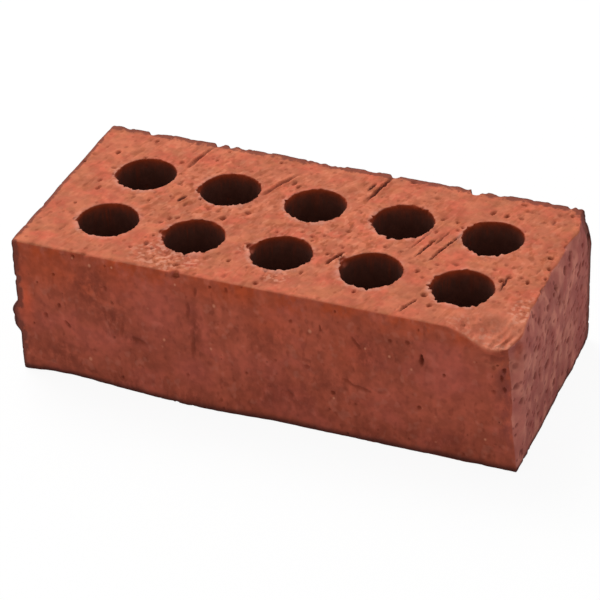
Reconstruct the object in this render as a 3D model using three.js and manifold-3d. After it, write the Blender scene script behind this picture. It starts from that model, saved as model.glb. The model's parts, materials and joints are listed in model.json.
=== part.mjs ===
// Cored clay brick, fired in one piece. Millimetres, +Z up, lying on its bottom bed face
// with the origin under its middle. X runs along the length, Y across the width.
import * as THREE from 'three';
import { mergeVertices, toCreasedNormals } from 'three/addons/utils/BufferGeometryUtils.js';
import Module from 'manifold-3d';

const wasm = await Module();
wasm.setup();

// Size as fired.
const BRICK_LENGTH = 203;
const BRICK_WIDTH = 92;
const BRICK_HEIGHT = 60;

// Edges all round, and the rows of facets that shape them.
const ARRIS_RADIUS = 1.2;
const ARRIS_ROWS = 2;
const FACE_PITCH = 5;

// Cores: two rows of five round holes from bed face to bed face.
const CORE_COLUMNS = 5;
const CORE_ROWS = 2;
const CORE_RADIUS = 12;
const CORE_PITCH_LENGTH = 35.9;
const CORE_PITCH_WIDTH = 35.4;
const CORE_SHIFT_WIDTH = -3.1; // the rows lie nearer the front stretcher face
const CORE_SIDES = 32;
const MOUTH_WIDENING = 0.6; // the soft rim that the cutting wire drags open
const MOUTH_DEPTH = 1.6;

// Cutting wire: grit caught on it ploughs short grooves across the top bed face.
const WIRE_SLANT = THREE.MathUtils.degToRad(14); // off the brick's width
const GROOVES = [
  { x: -56.9, y: 33.3, length: 17, width: 1.6, depth: 0.9 },
  { x: -18.7, y: 24.6, length: 21, width: 1.4, depth: 0.8 },
  { x: 19, y: 33.9, length: 18, width: 1.8, depth: 1 },
  { x: 15.6, y: 34.4, length: 6, width: 1.2, depth: 0.6 },
  { x: 56.9, y: 3.3, length: 21, width: 1.3, depth: 0.8 },
  { x: 49.9, y: 0.1, length: 11, width: 1.2, depth: 0.7 },
  { x: 20.2, y: -17.4, length: 10, width: 2.6, depth: 2.4 },
  { x: 56.6, y: -37.8, length: 8, width: 1.6, depth: 1 },
  { x: 85.1, y: -13.1, length: 9, width: 1.6, depth: 1 },
];

// Pits: grit that the wire tore out of the top bed face.
const PITS = [
  { x: -87.6, y: 4.7, size: 2.4, depth: 1.2 },
  { x: -86.1, y: -1.1, size: 2, depth: 1 },
  { x: -51.3, y: -31, size: 2.4, depth: 1.4 },
  { x: -47.7, y: -33.4, size: 2, depth: 1.2 },
  { x: -49.9, y: -11.9, size: 2.4, depth: 1 },
  { x: -30.6, y: -5.3, size: 2.8, depth: 1.4 },
  { x: -22.9, y: 1.2, size: 2.4, depth: 1.4 },
  { x: -14, y: 27.4, size: 2.4, depth: 1.3 },
  { x: -1.7, y: -41.8, size: 2.4, depth: 1.3 },
  { x: 59.9, y: -29.8, size: 2.8, depth: 1.6 },
  { x: 63.8, y: -35.3, size: 2.4, depth: 1.4 },
  { x: 64.6, y: 31, size: 2.4, depth: 1.3 },
  { x: 86, y: -7, size: 2.2, depth: 1.2 },
  { x: 93.8, y: -9.1, size: 2.4, depth: 1.5 },
  { x: 96, y: 9.4, size: 2.4, depth: 1.6 },
];

// Cracks, slits and dents in the front stretcher face, turned so many degrees from upright.
const FRONT_MARKS = [
  { x: -27.6, z: 50.2, width: 1.5, length: 6, depth: 0.7, turn: -11 },
  { x: -28.3, z: 43.6, width: 1.7, length: 9, depth: 1.1, turn: -3 },
  { x: -27, z: 29, width: 1.8, length: 15.5, depth: 1, turn: -2 },
  { x: -56.8, z: 28.5, width: 1.4, length: 8, depth: 0.6, turn: -5 },
  { x: -50, z: 24.8, width: 2.6, length: 7, depth: 0.8, turn: 70 },
  { x: -80, z: 26, width: 1.5, length: 5, depth: 1.1, turn: 35 },
  { x: -89.2, z: 28.1, width: 1.8, length: 2.4, depth: 0.9, turn: 0 },
  { x: -83.1, z: 33.7, width: 1.6, length: 2.6, depth: 0.9, turn: 0 },
  { x: -62.5, z: 46.1, width: 1.8, length: 2.6, depth: 0.6, turn: 0 },
  { x: 39.1, z: 44.1, width: 1.5, length: 7.5, depth: 0.9, turn: 35 },
  { x: 64.4, z: 42.4, width: 1.7, length: 6, depth: 2, turn: 0 },
  { x: 35.5, z: 26.3, width: 1.9, length: 5.5, depth: 0.9, turn: 60 },
  { x: 41, z: 24.3, width: 2.1, length: 8.5, depth: 1.1, turn: 78 },
  { x: 29.4, z: 19.5, width: 1.8, length: 2, depth: 1.2, turn: 0 },
  { x: 11.5, z: 14.7, width: 2.2, length: 5, depth: 0.6, turn: 75 },
];

// Knocks: chips out of the top edges of the two stretcher faces, turned by so many degrees.
const CHIPS = [
  { x: -84.5, side: 1, reach: 2.6, depth: 1.2, turn: 12 },
  { x: -54.5, side: 1, reach: 2.4, depth: 1.4, turn: 40 },
  { x: 18.9, side: 1, reach: 2.4, depth: 1.2, turn: 65 },
  { x: 54.8, side: 1, reach: 3.2, depth: 2.8, turn: 25 },
  { x: -32.7, side: -1, reach: 2, depth: 1, turn: 50 },
];

// Torn pits of the right header, at Y and Z.
const HEADER_PITS = [
  { y: -43, z: 45.5, size: 2.4, depth: 1.2 },
  { y: -43, z: 37, size: 2.4, depth: 1.2 },
  { y: -37.3, z: 47, size: 2.2, depth: 1 },
  { y: -34.7, z: 19.1, size: 2.2, depth: 1 },
  { y: -29.5, z: 11.3, size: 2.2, depth: 1 },
  { y: -21.4, z: 40.8, size: 2.2, depth: 1 },
  { y: -19.5, z: 28.7, size: 2.4, depth: 1 },
  { y: -13.1, z: 43.4, size: 2.4, depth: 1.1 },
  { y: -9.4, z: 25.5, size: 2.4, depth: 1.2 },
  { y: -9.9, z: 51.1, size: 2.4, depth: 1.1 },
  { y: -0.9, z: 10.9, size: 2.8, depth: 1.3 },
  { y: 1.1, z: 53, size: 2.4, depth: 1.2 },
  { y: 11.9, z: 53, size: 2.2, depth: 1.1 },
  { y: 29.9, z: 44.3, size: 2.8, depth: 1.2 },
];

const CREASE_ANGLE = THREE.MathUtils.degToRad(35); // sharper folds are shaded as edges

const halfLength = BRICK_LENGTH / 2;
const halfWidth = BRICK_WIDTH / 2;

// Wear: where handling while the clay was soft, and knocks since, push the surface in.
const WEAR = [
  // the top edge of the right header, dragged in along its whole run
  { at: [halfLength, 0, BRICK_HEIGHT], reach: [12, halfWidth * 1.5, 11], push: [-2, 0, -0.8] },
  { at: [halfLength, halfWidth - 2, BRICK_HEIGHT], reach: [9, 11, 16], push: [-2.4, -0.3, 0] },
  // the slumped corner, and the upright edge under it, worn most near its top
  { at: [halfLength - 8, -halfWidth, BRICK_HEIGHT], reach: [20.5, 14, 18], push: [0, 1.2, -8.3] },
  { at: [halfLength, -halfWidth, BRICK_HEIGHT - 6], reach: [15, 9, 24], push: [-4.2, 2.2, 0] },
  { at: [halfLength, -halfWidth, BRICK_HEIGHT - 34], reach: [9, 8, 26], push: [-2.2, 0.8, 0] },
  // the foot of the front stretcher
  { at: [21.5 - halfLength, -halfWidth, 0], reach: [24, 8, 8], push: [0, 1.6, 0] },
];

/** Moves one even grid coordinate so that close rows fall on the arris and even rows between. */
function gradeRow(share, half, rows) {
  const row = Math.round((share + 0.5) * rows);
  const fromEnd = Math.min(row, rows - row);
  const flat = half - ARRIS_RADIUS;
  const sign = row < rows / 2 ? -1 : 1;
  if (fromEnd < ARRIS_ROWS) {
    const angle = ((ARRIS_ROWS - fromEnd) / ARRIS_ROWS) * (Math.PI / 4);
    return sign * (flat + ARRIS_RADIUS * Math.tan(angle));
  }
  return THREE.MathUtils.mapLinear(row, ARRIS_ROWS, rows - ARRIS_ROWS, -flat, flat);
}

/** Pulls a point on the sharp box in on to the rounded arris. */
function roundArris(point, half) {
  const inner = half.clone().subScalar(ARRIS_RADIUS);
  const core = point.clone().clamp(inner.clone().negate(), inner);
  const out = point.clone().sub(core);
  return out.lengthSq() > 0 ? core.add(out.setLength(ARRIS_RADIUS)) : core;
}

/** Pushes a point in by every worn place that reaches it. */
function wear(point) {
  const moved = point.clone();
  for (const { at, reach, push } of WEAR) {
    const away = point.clone().sub(new THREE.Vector3(...at)).divide(new THREE.Vector3(...reach));
    const fade = Math.max(0, 1 - away.lengthSq()) ** 2;
    moved.addScaledVector(new THREE.Vector3(...push), fade);
  }
  return moved;
}

/** The brick's outside before coring: a box with soft, worn edges. */
function makeBlank() {
  const half = new THREE.Vector3(halfLength, halfWidth, BRICK_HEIGHT / 2);
  const rows = half.toArray().map((h) => 2 * (ARRIS_ROWS + Math.max(1, Math.round(h / FACE_PITCH))));
  const blank = new THREE.BoxGeometry(1, 1, 1, ...rows);
  const places = blank.getAttribute('position');
  for (let i = 0; i < places.count; i += 1) {
    const even = new THREE.Vector3().fromBufferAttribute(places, i).toArray();
    const graded = even.map((share, axis) => gradeRow(share, half.getComponent(axis), rows[axis]));
    const rounded = roundArris(new THREE.Vector3(...graded), half);
    const worn = wear(rounded.setZ(rounded.z + half.z));
    places.setXYZ(i, worn.x, worn.y, worn.z);
  }
  return blank;
}

/** One core's cutter: a round bar that widens at both bed faces. */
function makeCoreCutter() {
  const wide = CORE_RADIUS + MOUTH_WIDENING;
  const over = MOUTH_DEPTH;
  const profile = [
    [0, -over],
    [wide, -over],
    [wide, 0],
    [CORE_RADIUS, MOUTH_DEPTH],
    [CORE_RADIUS, BRICK_HEIGHT - MOUTH_DEPTH],
    [wide, BRICK_HEIGHT],
    [wide, BRICK_HEIGHT + over],
    [0, BRICK_HEIGHT + over],
  ].map(([radius, z]) => new THREE.Vector2(radius, z));
  return new THREE.LatheGeometry(profile, CORE_SIDES).rotateX(Math.PI / 2);
}

/** Cutters for all the cores, set out in their rows. */
function makeCoreCutters() {
  const cutters = [];
  for (let row = 0; row < CORE_ROWS; row += 1) {
    for (let column = 0; column < CORE_COLUMNS; column += 1) {
      const x = (column - (CORE_COLUMNS - 1) / 2) * CORE_PITCH_LENGTH;
      const y = (row - (CORE_ROWS - 1) / 2) * CORE_PITCH_WIDTH + CORE_SHIFT_WIDTH;
      cutters.push(makeCoreCutter().translate(x, y, 0));
    }
  }
  return cutters;
}

/** One wire groove's cutter: a long ball, sunk so that it cuts the stated width and depth. */
function makeGrooveCutter({ x, y, length, width, depth }) {
  return new THREE.SphereGeometry(1, 10, 6)
    .scale(width / 2, length / 2, depth)
    .rotateZ(-WIRE_SLANT)
    .translate(x, y, BRICK_HEIGHT);
}

/** One pit's cutter: a coarse ball sunk in the top bed face. */
function makePitCutter({ x, y, size, depth }) {
  return new THREE.IcosahedronGeometry(1, 0)
    .scale(size / 2, size / 2, depth)
    .translate(x, y, BRICK_HEIGHT);
}

/** One header pit's cutter: a coarse ball sunk in the right header, where wear has left it. */
function makeHeaderPitCutter({ y, z, size, depth }) {
  return new THREE.IcosahedronGeometry(1, 0)
    .scale(depth, size / 2, size / 2)
    .translate(...wear(new THREE.Vector3(halfLength, y, z)));
}

/** One front mark's cutter: a long ball sunk in the front stretcher face. */
function makeFrontMarkCutter({ x, z, width, length, depth, turn }) {
  return new THREE.SphereGeometry(1, 8, 6)
    .scale(width / 2, length / 2, depth)
    .rotateZ(THREE.MathUtils.degToRad(turn))
    .rotateX(Math.PI / 2)
    .translate(x, -halfWidth, z);
}

/** One chip's cutter: a coarse ball set on the edge. */
function makeChipCutter({ x, side, reach, depth, turn }) {
  return new THREE.IcosahedronGeometry(1, 1)
    .scale(reach, depth, depth)
    .rotateZ(THREE.MathUtils.degToRad(turn))
    .translate(x, side * halfWidth, BRICK_HEIGHT);
}

/** A closed manifold from a three.js geometry. */
function toManifold(geometry) {
  const bare = geometry.clone();
  bare.deleteAttribute('normal');
  bare.deleteAttribute('uv');
  const welded = mergeVertices(bare, 1e-4);
  return new wasm.Manifold(new wasm.Mesh({
    numProp: 3,
    vertProperties: new Float32Array(welded.getAttribute('position').array),
    triVerts: new Uint32Array(welded.index.array),
  }));
}

/** A three.js geometry from a manifold, shaded smooth except over its edges. */
function toGeometry(manifold) {
  const { vertProperties, triVerts } = manifold.getMesh();
  const geometry = new THREE.BufferGeometry();
  geometry.setAttribute('position', new THREE.BufferAttribute(vertProperties, 3));
  geometry.setIndex(new THREE.BufferAttribute(triVerts, 1));
  return toCreasedNormals(geometry, CREASE_ANGLE);
}

const cutters = [
  ...makeCoreCutters(),
  ...GROOVES.map(makeGrooveCutter),
  ...PITS.map(makePitCutter),
  ...HEADER_PITS.map(makeHeaderPitCutter),
  ...FRONT_MARKS.map(makeFrontMarkCutter),
  ...CHIPS.map(makeChipCutter),
];
const body = cutters.reduce((solid, cutter) => solid.subtract(toManifold(cutter)), toManifold(makeBlank()));

const brick = new THREE.Mesh(
  toGeometry(body),
  new THREE.MeshStandardMaterial({ color: '#ad6350', roughness: 0.95, metalness: 0 }),
);
brick.name = 'brick';

const group = new THREE.Group();
group.name = 'cored_clay_brick';
group.add(brick);

export default group;
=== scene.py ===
"""Cored clay brick: the fired surface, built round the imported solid, with its floor, light and camera.

Blender works in metres. Sizes here are named in millimetres, in the part's own frame: X along the
length, Y across the width, Z up through the cores, origin under the middle on the floor.
"""

import itertools
import json
import logging
import math
from dataclasses import dataclass, field
from enum import Enum

import bpy
import numpy as np
from mathutils import Matrix, Vector

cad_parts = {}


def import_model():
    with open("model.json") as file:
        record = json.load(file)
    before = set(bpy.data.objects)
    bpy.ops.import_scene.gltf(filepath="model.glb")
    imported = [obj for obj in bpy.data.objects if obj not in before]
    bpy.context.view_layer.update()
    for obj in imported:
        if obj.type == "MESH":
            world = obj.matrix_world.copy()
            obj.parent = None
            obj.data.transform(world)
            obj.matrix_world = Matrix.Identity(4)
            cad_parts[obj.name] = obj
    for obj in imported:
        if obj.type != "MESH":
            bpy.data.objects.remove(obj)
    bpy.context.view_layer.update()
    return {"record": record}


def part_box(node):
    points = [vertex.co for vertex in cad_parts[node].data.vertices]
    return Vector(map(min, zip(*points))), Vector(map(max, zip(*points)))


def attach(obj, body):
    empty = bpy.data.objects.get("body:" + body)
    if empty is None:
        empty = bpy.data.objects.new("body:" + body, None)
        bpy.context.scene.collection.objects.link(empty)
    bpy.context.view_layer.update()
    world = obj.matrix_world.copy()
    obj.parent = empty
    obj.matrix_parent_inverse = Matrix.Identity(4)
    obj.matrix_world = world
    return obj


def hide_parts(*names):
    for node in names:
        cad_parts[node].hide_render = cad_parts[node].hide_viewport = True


MM = 0.001
NODE = "brick"
BODY = "root"
TEXTURE_MAP = "OFBake"  # the name under which an own texture map is kept

WIRE_SLANT = 14.0  # degrees that the cutting wire ran off the width
RIM_REACH = 3.0  # how far round each core the pale torn line may lie

log = logging.getLogger("cored_clay_brick")

Colour = tuple[float, float, float, float]
Stretch = tuple[float, float, float]
Band = tuple[float, float]  # where something starts and where it is full, in millimetres
Socket = bpy.types.NodeSocket
Value = Socket | float  # what a number's input takes
Dye = Socket | Colour  # what a colour's input takes

WHITE: Colour = (1.0, 1.0, 1.0, 1.0)
EVEN: Stretch = (1.0, 1.0, 1.0)


def screen_colour(red: int, green: int, blue: int) -> Colour:
    """Turns a screen colour into the linear one that a shader takes.

    Args:
        red: Red from 0 to 255.
        green: Green from 0 to 255.
        blue: Blue from 0 to 255.

    Returns:
        Linear red, green and blue, with full alpha.
    """

    def linear(part: int) -> float:
        """One part of the colour, made linear."""
        share = part / 255
        return share / 12.92 if share <= 0.04045 else ((share + 0.055) / 1.055) ** 2.4

    return linear(red), linear(green), linear(blue), 1.0


# Repeatable chance ---------------------------------------------------------------------------------

SEED_FACTOR = 0x9E3779B1
FIRST_FACTOR = np.uint32(0x85EBCA6B)
SECOND_FACTOR = np.uint32(0xC2B2AE35)
ALL_BITS = 0xFFFFFFFF
OCTAVE_STEP = 101  # added to a pattern's seed for each finer layer


def chance_of(cells: np.ndarray, seed: int) -> np.ndarray:
    """Gives each whole-numbered cell its own repeatable number.

    Args:
        cells: Cell numbers, one row for each cell.
        seed: Which set of numbers to give.

    Returns:
        A number from 0 to 1 for each row.
    """
    mixed = np.full(len(cells), seed * SEED_FACTOR & ALL_BITS, dtype=np.uint32)
    for axis in range(cells.shape[1]):
        mixed = (mixed ^ cells[:, axis].astype(np.int64).astype(np.uint32)) * FIRST_FACTOR
        mixed ^= mixed >> np.uint32(13)
        mixed *= SECOND_FACTOR
        mixed ^= mixed >> np.uint32(16)
    return mixed / 2.0**32


def rolling(places: np.ndarray, cell: tuple[float, ...], seed: int, octaves: int = 1) -> np.ndarray:
    """Smooth random height over places, the coarsest waves a cell wide.

    Args:
        places: One row of coordinates in millimetres for each place.
        cell: Cell size along each coordinate, in millimetres.
        seed: Which pattern to give.
        octaves: How many layers there are, each half as wide and half as high as the one before.

    Returns:
        A height from about -1 to 1 for each place.
    """
    total = np.zeros(len(places))
    for octave in range(octaves):
        scaled = places * 2.0**octave / np.array(cell)
        low = np.floor(scaled)
        share = scaled - low
        share = share * share * (3 - 2 * share)
        height = np.zeros(len(places))
        for corner in itertools.product((0, 1), repeat=places.shape[1]):
            weight = np.prod(np.where(corner, share, 1 - share), axis=1)
            height += weight * chance_of(low + corner, seed + OCTAVE_STEP * octave)
        total += (2 * height - 1) * 0.5**octave
    return total


@dataclass(frozen=True)
class Wave:
    """One layer of smooth random relief."""

    rise: float  # millimetres above and below the face
    cell: tuple[float, float]  # millimetres that a wave is wide and long
    step: int  # added to the surface's seed
    octaves: int = 1

    def height(self, places: np.ndarray, seed: int) -> np.ndarray:
        """The wave's height at each place, in millimetres."""
        return self.rise * rolling(places, self.cell, seed + self.step, self.octaves)


@dataclass(frozen=True)
class Pitting:
    """Chance-set pits over a face, long one way. Their outlines are measured in radii of the pit."""

    cell: tuple[float, float]
    share: float  # of the cells that hold a pit
    radius: tuple[float, float]  # least and most, across
    stretch: float  # length over width
    depth: tuple[float, float]
    step: int = 0  # added to the surface's seed
    lip: float = 0.0  # share of the depth that stands up round a pit
    margin: float = 0.15  # share of the cell's side that no pit's middle lies in, at each end
    inner: float = 0.7  # share of it that is left
    uneven: float = 0.35  # how far the outline strays
    uneven_cell: float = 0.9  # millimetres between its wanderings
    slope: float = 0.6  # how wide the pit's sloping edge is
    lip_at: float = 1.3  # where the lip stands
    lip_width: float = 0.3

    def depths(self, places: np.ndarray, seed: int) -> np.ndarray:
        """How deep the pits are at each place.

        Args:
            places: Across and along coordinates in millimetres.
            seed: The surface's seed.

        Returns:
            Depth in millimetres, 0 where there is no pit and below 0 on a lip.
        """
        own = seed + self.step
        cell_of_edge = (self.uneven_cell, self.uneven_cell * self.stretch)
        wobble = self.uneven * rolling(places, cell_of_edge, own + 7)
        home = np.floor(places / self.cell)
        deepest = np.zeros(len(places))
        raised = np.zeros(len(places))
        for shift in itertools.product((-1, 0, 1), repeat=2):
            cell = home + shift
            across, along, wide, deep, here = (chance_of(cell, own + step) for step in range(1, 6))
            middle = (cell + self.margin + self.inner * np.stack([across, along], axis=1)) * self.cell
            radius = self.radius[0] + (self.radius[1] - self.radius[0]) * wide**2
            away = (places - middle) / np.stack([radius, radius * self.stretch], axis=1)
            distance = np.hypot(away[:, 0], away[:, 1]) - wobble
            bowl = np.clip(1 - distance, 0, self.slope) / self.slope
            depth = self.depth[0] + (self.depth[1] - self.depth[0]) * deep
            depth = depth * (here < self.share)
            deepest = np.maximum(deepest, depth * bowl)
            lip = np.exp(-(((distance - self.lip_at) / self.lip_width) ** 2))
            raised = np.maximum(raised, depth * lip)
        return deepest - self.lip * raised


# Marks given one by one ---------------------------------------------------------------------------

SLIT_STRETCH = 3.0  # a mark longer than so many widths is a slit
DEEP_PIT = 1.8  # millimetres


@dataclass(frozen=True)
class Press:
    """A soft place where handling or knocks pushed the whole surface in."""

    at: tuple[float, float, float]
    reach: tuple[float, float, float]
    push: tuple[float, float, float]

    def move(self, places: np.ndarray) -> np.ndarray:
        """How far the clay moves.

        Args:
            places: The vertices' places in millimetres.

        Returns:
            The push at each place, in millimetres.
        """
        away = (places - self.at) / self.reach
        fade = np.clip(1 - (away**2).sum(axis=1), 0, None) ** 2
        return fade[:, None] * self.push


@dataclass(frozen=True)
class Mark:
    """A groove, slit, dent or pit of known size on one face, as an oval hollow with soft lips."""

    across: float
    along: float
    width: float
    length: float
    depth: float  # below 0 for a lump
    turn: float = 0.0  # degrees, anticlockwise on the face
    lip: float = 0.0  # height of the clay thrown up beside it

    @property
    def is_drawn(self) -> bool:
        """True for a long slit or a deep pit, whose inside the finish paints with shade."""
        return self.length > SLIT_STRETCH * self.width or self.depth > DEEP_PIT

    def height(self, places: np.ndarray) -> np.ndarray:
        """Height of the mark at each place, below 0 in the hollow.

        Args:
            places: The two face coordinates in millimetres.

        Returns:
            Height in millimetres.
        """
        angle = math.radians(self.turn)
        away = places - (self.across, self.along)
        side = (away[:, 0] * math.cos(angle) + away[:, 1] * math.sin(angle)) / (self.width / 2)
        run = (away[:, 1] * math.cos(angle) - away[:, 0] * math.sin(angle)) / (self.length / 2)
        hollow = np.clip(1 - side**2 - np.abs(run) ** 2.5, 0, 1) ** 0.8
        beside = np.exp(-(((np.abs(side) - 1.5) / 0.5) ** 2)) * np.clip(1 - run**2, 0, 1)
        return self.lip * beside - self.depth * hollow


@dataclass(frozen=True)
class Patch:
    """A soft-edged oval place on a face, where the clay crumbled or the kiln coloured it."""

    across: float
    along: float
    wide: float  # reach across
    tall: float  # reach along
    strength: float = 1.0

    def share(self, spots: np.ndarray) -> np.ndarray:
        """How much each spot belongs to the patch, from 0 to its strength."""
        away = (spots - (self.across, self.along)) / (self.wide, self.tall)
        return self.strength * np.exp(-(away**2).sum(axis=1))


def patched(spots: np.ndarray, patches: tuple[Patch, ...]) -> np.ndarray:
    """How much each spot belongs to the strongest patch there."""
    return np.max([np.zeros(len(spots))] + [patch.share(spots) for patch in patches], axis=0)


class Face(Enum):
    """The six outer faces, each with its outward axis and the axes that lie across and along it."""

    TOP = (2, 1, 0, 1)
    BOTTOM = (2, -1, 0, 1)
    BACK = (1, 1, 0, 2)
    FRONT = (1, -1, 0, 2)
    RIGHT = (0, 1, 1, 2)
    LEFT = (0, -1, 1, 2)

    @property
    def is_bed(self) -> bool:
        """True for the two faces that the wire cut."""
        return self in (Face.TOP, Face.BOTTOM)

    @property
    def is_end(self) -> bool:
        """True for the two header faces."""
        return self in (Face.LEFT, Face.RIGHT)

    @property
    def is_turned(self) -> bool:
        """True for the faces that are seen the other way round from outside."""
        return self in (Face.BOTTOM, Face.BACK, Face.LEFT)

    def squareness(self, normals: np.ndarray) -> np.ndarray:
        """How squarely each normal points out of this face, from -1 to 1."""
        axis, sign, _, _ = self.value
        return sign * normals[:, axis]

    def facing(self, normals: np.ndarray) -> np.ndarray:
        """How far each normal belongs to this face, from 0 to 1."""
        return np.clip(self.squareness(normals), 0, 1) ** 2

    def spread(self, places: np.ndarray) -> np.ndarray:
        """The two coordinates that lie in the face."""
        _, _, across, along = self.value
        return places[:, [across, along]]


class Trace(Enum):
    """The numbers that the mesh keeps for its finish, from 0 to 1 at each vertex."""

    BED = "wire_cut"
    END = "dragged"
    PIT = "pit"
    HEIGHT = "height"
    CORE = "core"
    RIM = "rim"
    RIM_GAP = "rim_gap"
    LEAVING = "leaving"
    BURR = "burr"
    ARRIS = "arris"
    CRUMBLED = "crumbled"
    TORN = "torn"
    BROKEN = "broken"
    SMOKY = "smoky"
    BROWN = "brown"
    ROSY = "rosy"
    FLAMED = "lit_corner"
    RUBBED = "rubbed"
    RUBBED_END = "rubbed_end"


# Surfaces ------------------------------------------------------------------------------------------


@dataclass
class Surface:
    """The relief of one face: waves, chance-set pits and marks."""

    seed: int
    marks: tuple[Mark, ...] = ()
    waves: tuple[Wave, ...] = ()
    pitting: tuple[Pitting, ...] = ()
    mark_shade: float = 0.6  # how dark a mark is, for each millimetre of its depth

    def relief(self, spots: np.ndarray) -> tuple[np.ndarray, np.ndarray]:
        """Heights over the face.

        Args:
            spots: The two face coordinates in millimetres.

        Returns:
            Height in millimetres, and the depth of the hollows alone.
        """
        pits = np.maximum.reduce([layer.depths(spots, self.seed) for layer in self.pitting])
        height = sum(wave.height(spots, self.seed) for wave in self.waves)
        marked = self.marked_height(spots)
        height += marked
        return height - pits, np.maximum(pits, -self.mark_shade * marked)

    def marked_height(self, spots: np.ndarray) -> np.ndarray:
        """The height that all of the face's marks give, their outlines made uneven by chance.

        Args:
            spots: The two face coordinates in millimetres.

        Returns:
            Height in millimetres.
        """
        strays = [rolling(spots, (2.2, 2.2), self.seed + step, 2) for step in (71, 72)]
        uneven = spots + 0.3 * np.stack(strays, axis=1)
        return sum((mark.height(uneven) for mark in self.marks), np.zeros(len(spots)))


@dataclass
class DieSkin(Surface):
    """A stretcher face, smoothed by the die: shallow waves, faint lines, a few pits and marks."""

    waves: tuple[Wave, ...] = (
        Wave(0.22, (26.0, 20.0), 1, 2),
        Wave(0.06, (2.6, 22.0), 2, 2),
        Wave(0.18, (5.0, 8.0), 3, 2),
        Wave(0.07, (1.9, 2.5), 5),
    )
    pitting: tuple[Pitting, ...] = (
        Pitting((11.0, 9.0), 0.4, (0.4, 0.9), 1.3, (0.4, 0.9)),
        Pitting((4.8, 6.2), 0.2, (0.3, 0.5), 1.5, (0.15, 0.35), 40),
    )


@dataclass
class DraggedEnd(Surface):
    """A header face, dragged by the die: upright waves and wide torn pits."""

    waves: tuple[Wave, ...] = (
        Wave(0.08, (4.0, 12.0), 1, 2),
        Wave(0.18, (5.5, 6.5), 2),
        Wave(0.2, (12.0, 16.0), 3, 2),
    )
    pitting: tuple[Pitting, ...] = (
        Pitting((7.4, 5.6), 0.7, (1.2, 2.0), 0.75, (0.6, 1.3)),
        Pitting((5.2, 3.6), 0.45, (0.7, 1.1), 0.8, (0.3, 0.8), 40),
    )
    mark_shade: float = 0.8


@dataclass
class WireCut(Surface):
    """A bed face, torn by the cutting wire: drag lines, torn pits and grooves."""

    waves: tuple[Wave, ...] = (Wave(0.22, (9.0, 9.0), 4, 2),)
    pitting: tuple[Pitting, ...] = (  # the small pits, which are deeper in torn clay
        Pitting((6.5, 8.0), 0.5, (0.5, 1.1), 1.8, (0.3, 0.7), 20, 0.15),
        Pitting((3.4, 4.4), 0.15, (0.35, 0.5), 1.5, (0.2, 0.4), 40),
    )
    mark_shade: float = 0.75
    slant: float = WIRE_SLANT
    rough: tuple[Patch, ...] = ()  # where the clay crumbled
    torn: tuple[Patch, ...] = ()  # where the wire tore it most
    gouges: Pitting = Pitting((13.0, 15.0), 0.5, (0.6, 1.1), 1.5, (0.8, 1.5), 0, 0.15)
    tears: Pitting = Pitting((6.5, 15.0), 0.5, (0.25, 0.45), 8.0, (0.3, 0.8), 60)
    unrest: Wave = Wave(1.0, (24.0, 20.0), 1, 2)  # where it tore by chance
    ridges: Wave = Wave(1.0, (2.6, 14.0), 2, 2)
    ridge_rise: float = 0.06
    flakes: Wave = Wave(0.2, (2.8, 5.5), 3, 2)
    crumbs: tuple[Wave, Wave] = (Wave(0.45, (2.4, 2.1), 5), Wave(0.3, (4.5, 4.0), 6))

    def drag(self, spots: np.ndarray) -> np.ndarray:
        """Turns coordinates to the wire's way.

        Args:
            spots: X and Y in millimetres.

        Returns:
            Coordinates across and along the wire's way.
        """
        angle = math.radians(self.slant)
        turn = np.array([[math.cos(angle), math.sin(angle)], [-math.sin(angle), math.cos(angle)]])
        return spots @ turn

    def relief(self, spots: np.ndarray) -> tuple[np.ndarray, np.ndarray]:
        """Heights over the face.

        Args:
            spots: X and Y in millimetres.

        Returns:
            Height in millimetres, and the depth of the hollows alone.
        """
        lines = self.drag(spots)
        loose = patched(spots, self.rough)
        torn = np.clip(0.5 + self.unrest.height(spots, self.seed), 0, 1)
        torn *= 0.6 + 0.8 * patched(spots, self.torn)
        torn += loose

        deeper = np.clip(torn, 0.35, 1.3)
        pits = self.gouges.depths(lines, self.seed)
        for layer in self.pitting:
            pits = pits + layer.depths(lines, self.seed) * deeper
        pits *= 1 - 0.8 * loose
        tears = self.tears.depths(lines, self.seed)

        sharp = 1 - 2 * np.abs(self.ridges.height(lines, self.seed))
        height = self.ridge_rise * sharp * (0.25 + torn)
        height += self.flakes.height(lines, self.seed) * (0.2 + torn)
        height += sum(wave.height(spots, self.seed) for wave in self.waves)
        height += sum(wave.height(spots, self.seed) for wave in self.crumbs) * loose
        marked = self.marked_height(spots)
        height += marked
        dark = np.maximum.reduce([pits, 0.5 * tears, -self.mark_shade * marked])
        return height - pits - 0.6 * tears, dark


@dataclass(frozen=True)
class Mouths:
    """The cores' torn mouths, with a row or a number for each vertex."""

    move: np.ndarray  # how far the rim is pushed along X and Y, in millimetres
    burr: np.ndarray  # how much of a burr stands there, from 0 to 1
    leaving: np.ndarray  # 1 on the side where the wire left a core
    to_bed: np.ndarray  # millimetres to the nearer bed face


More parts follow.
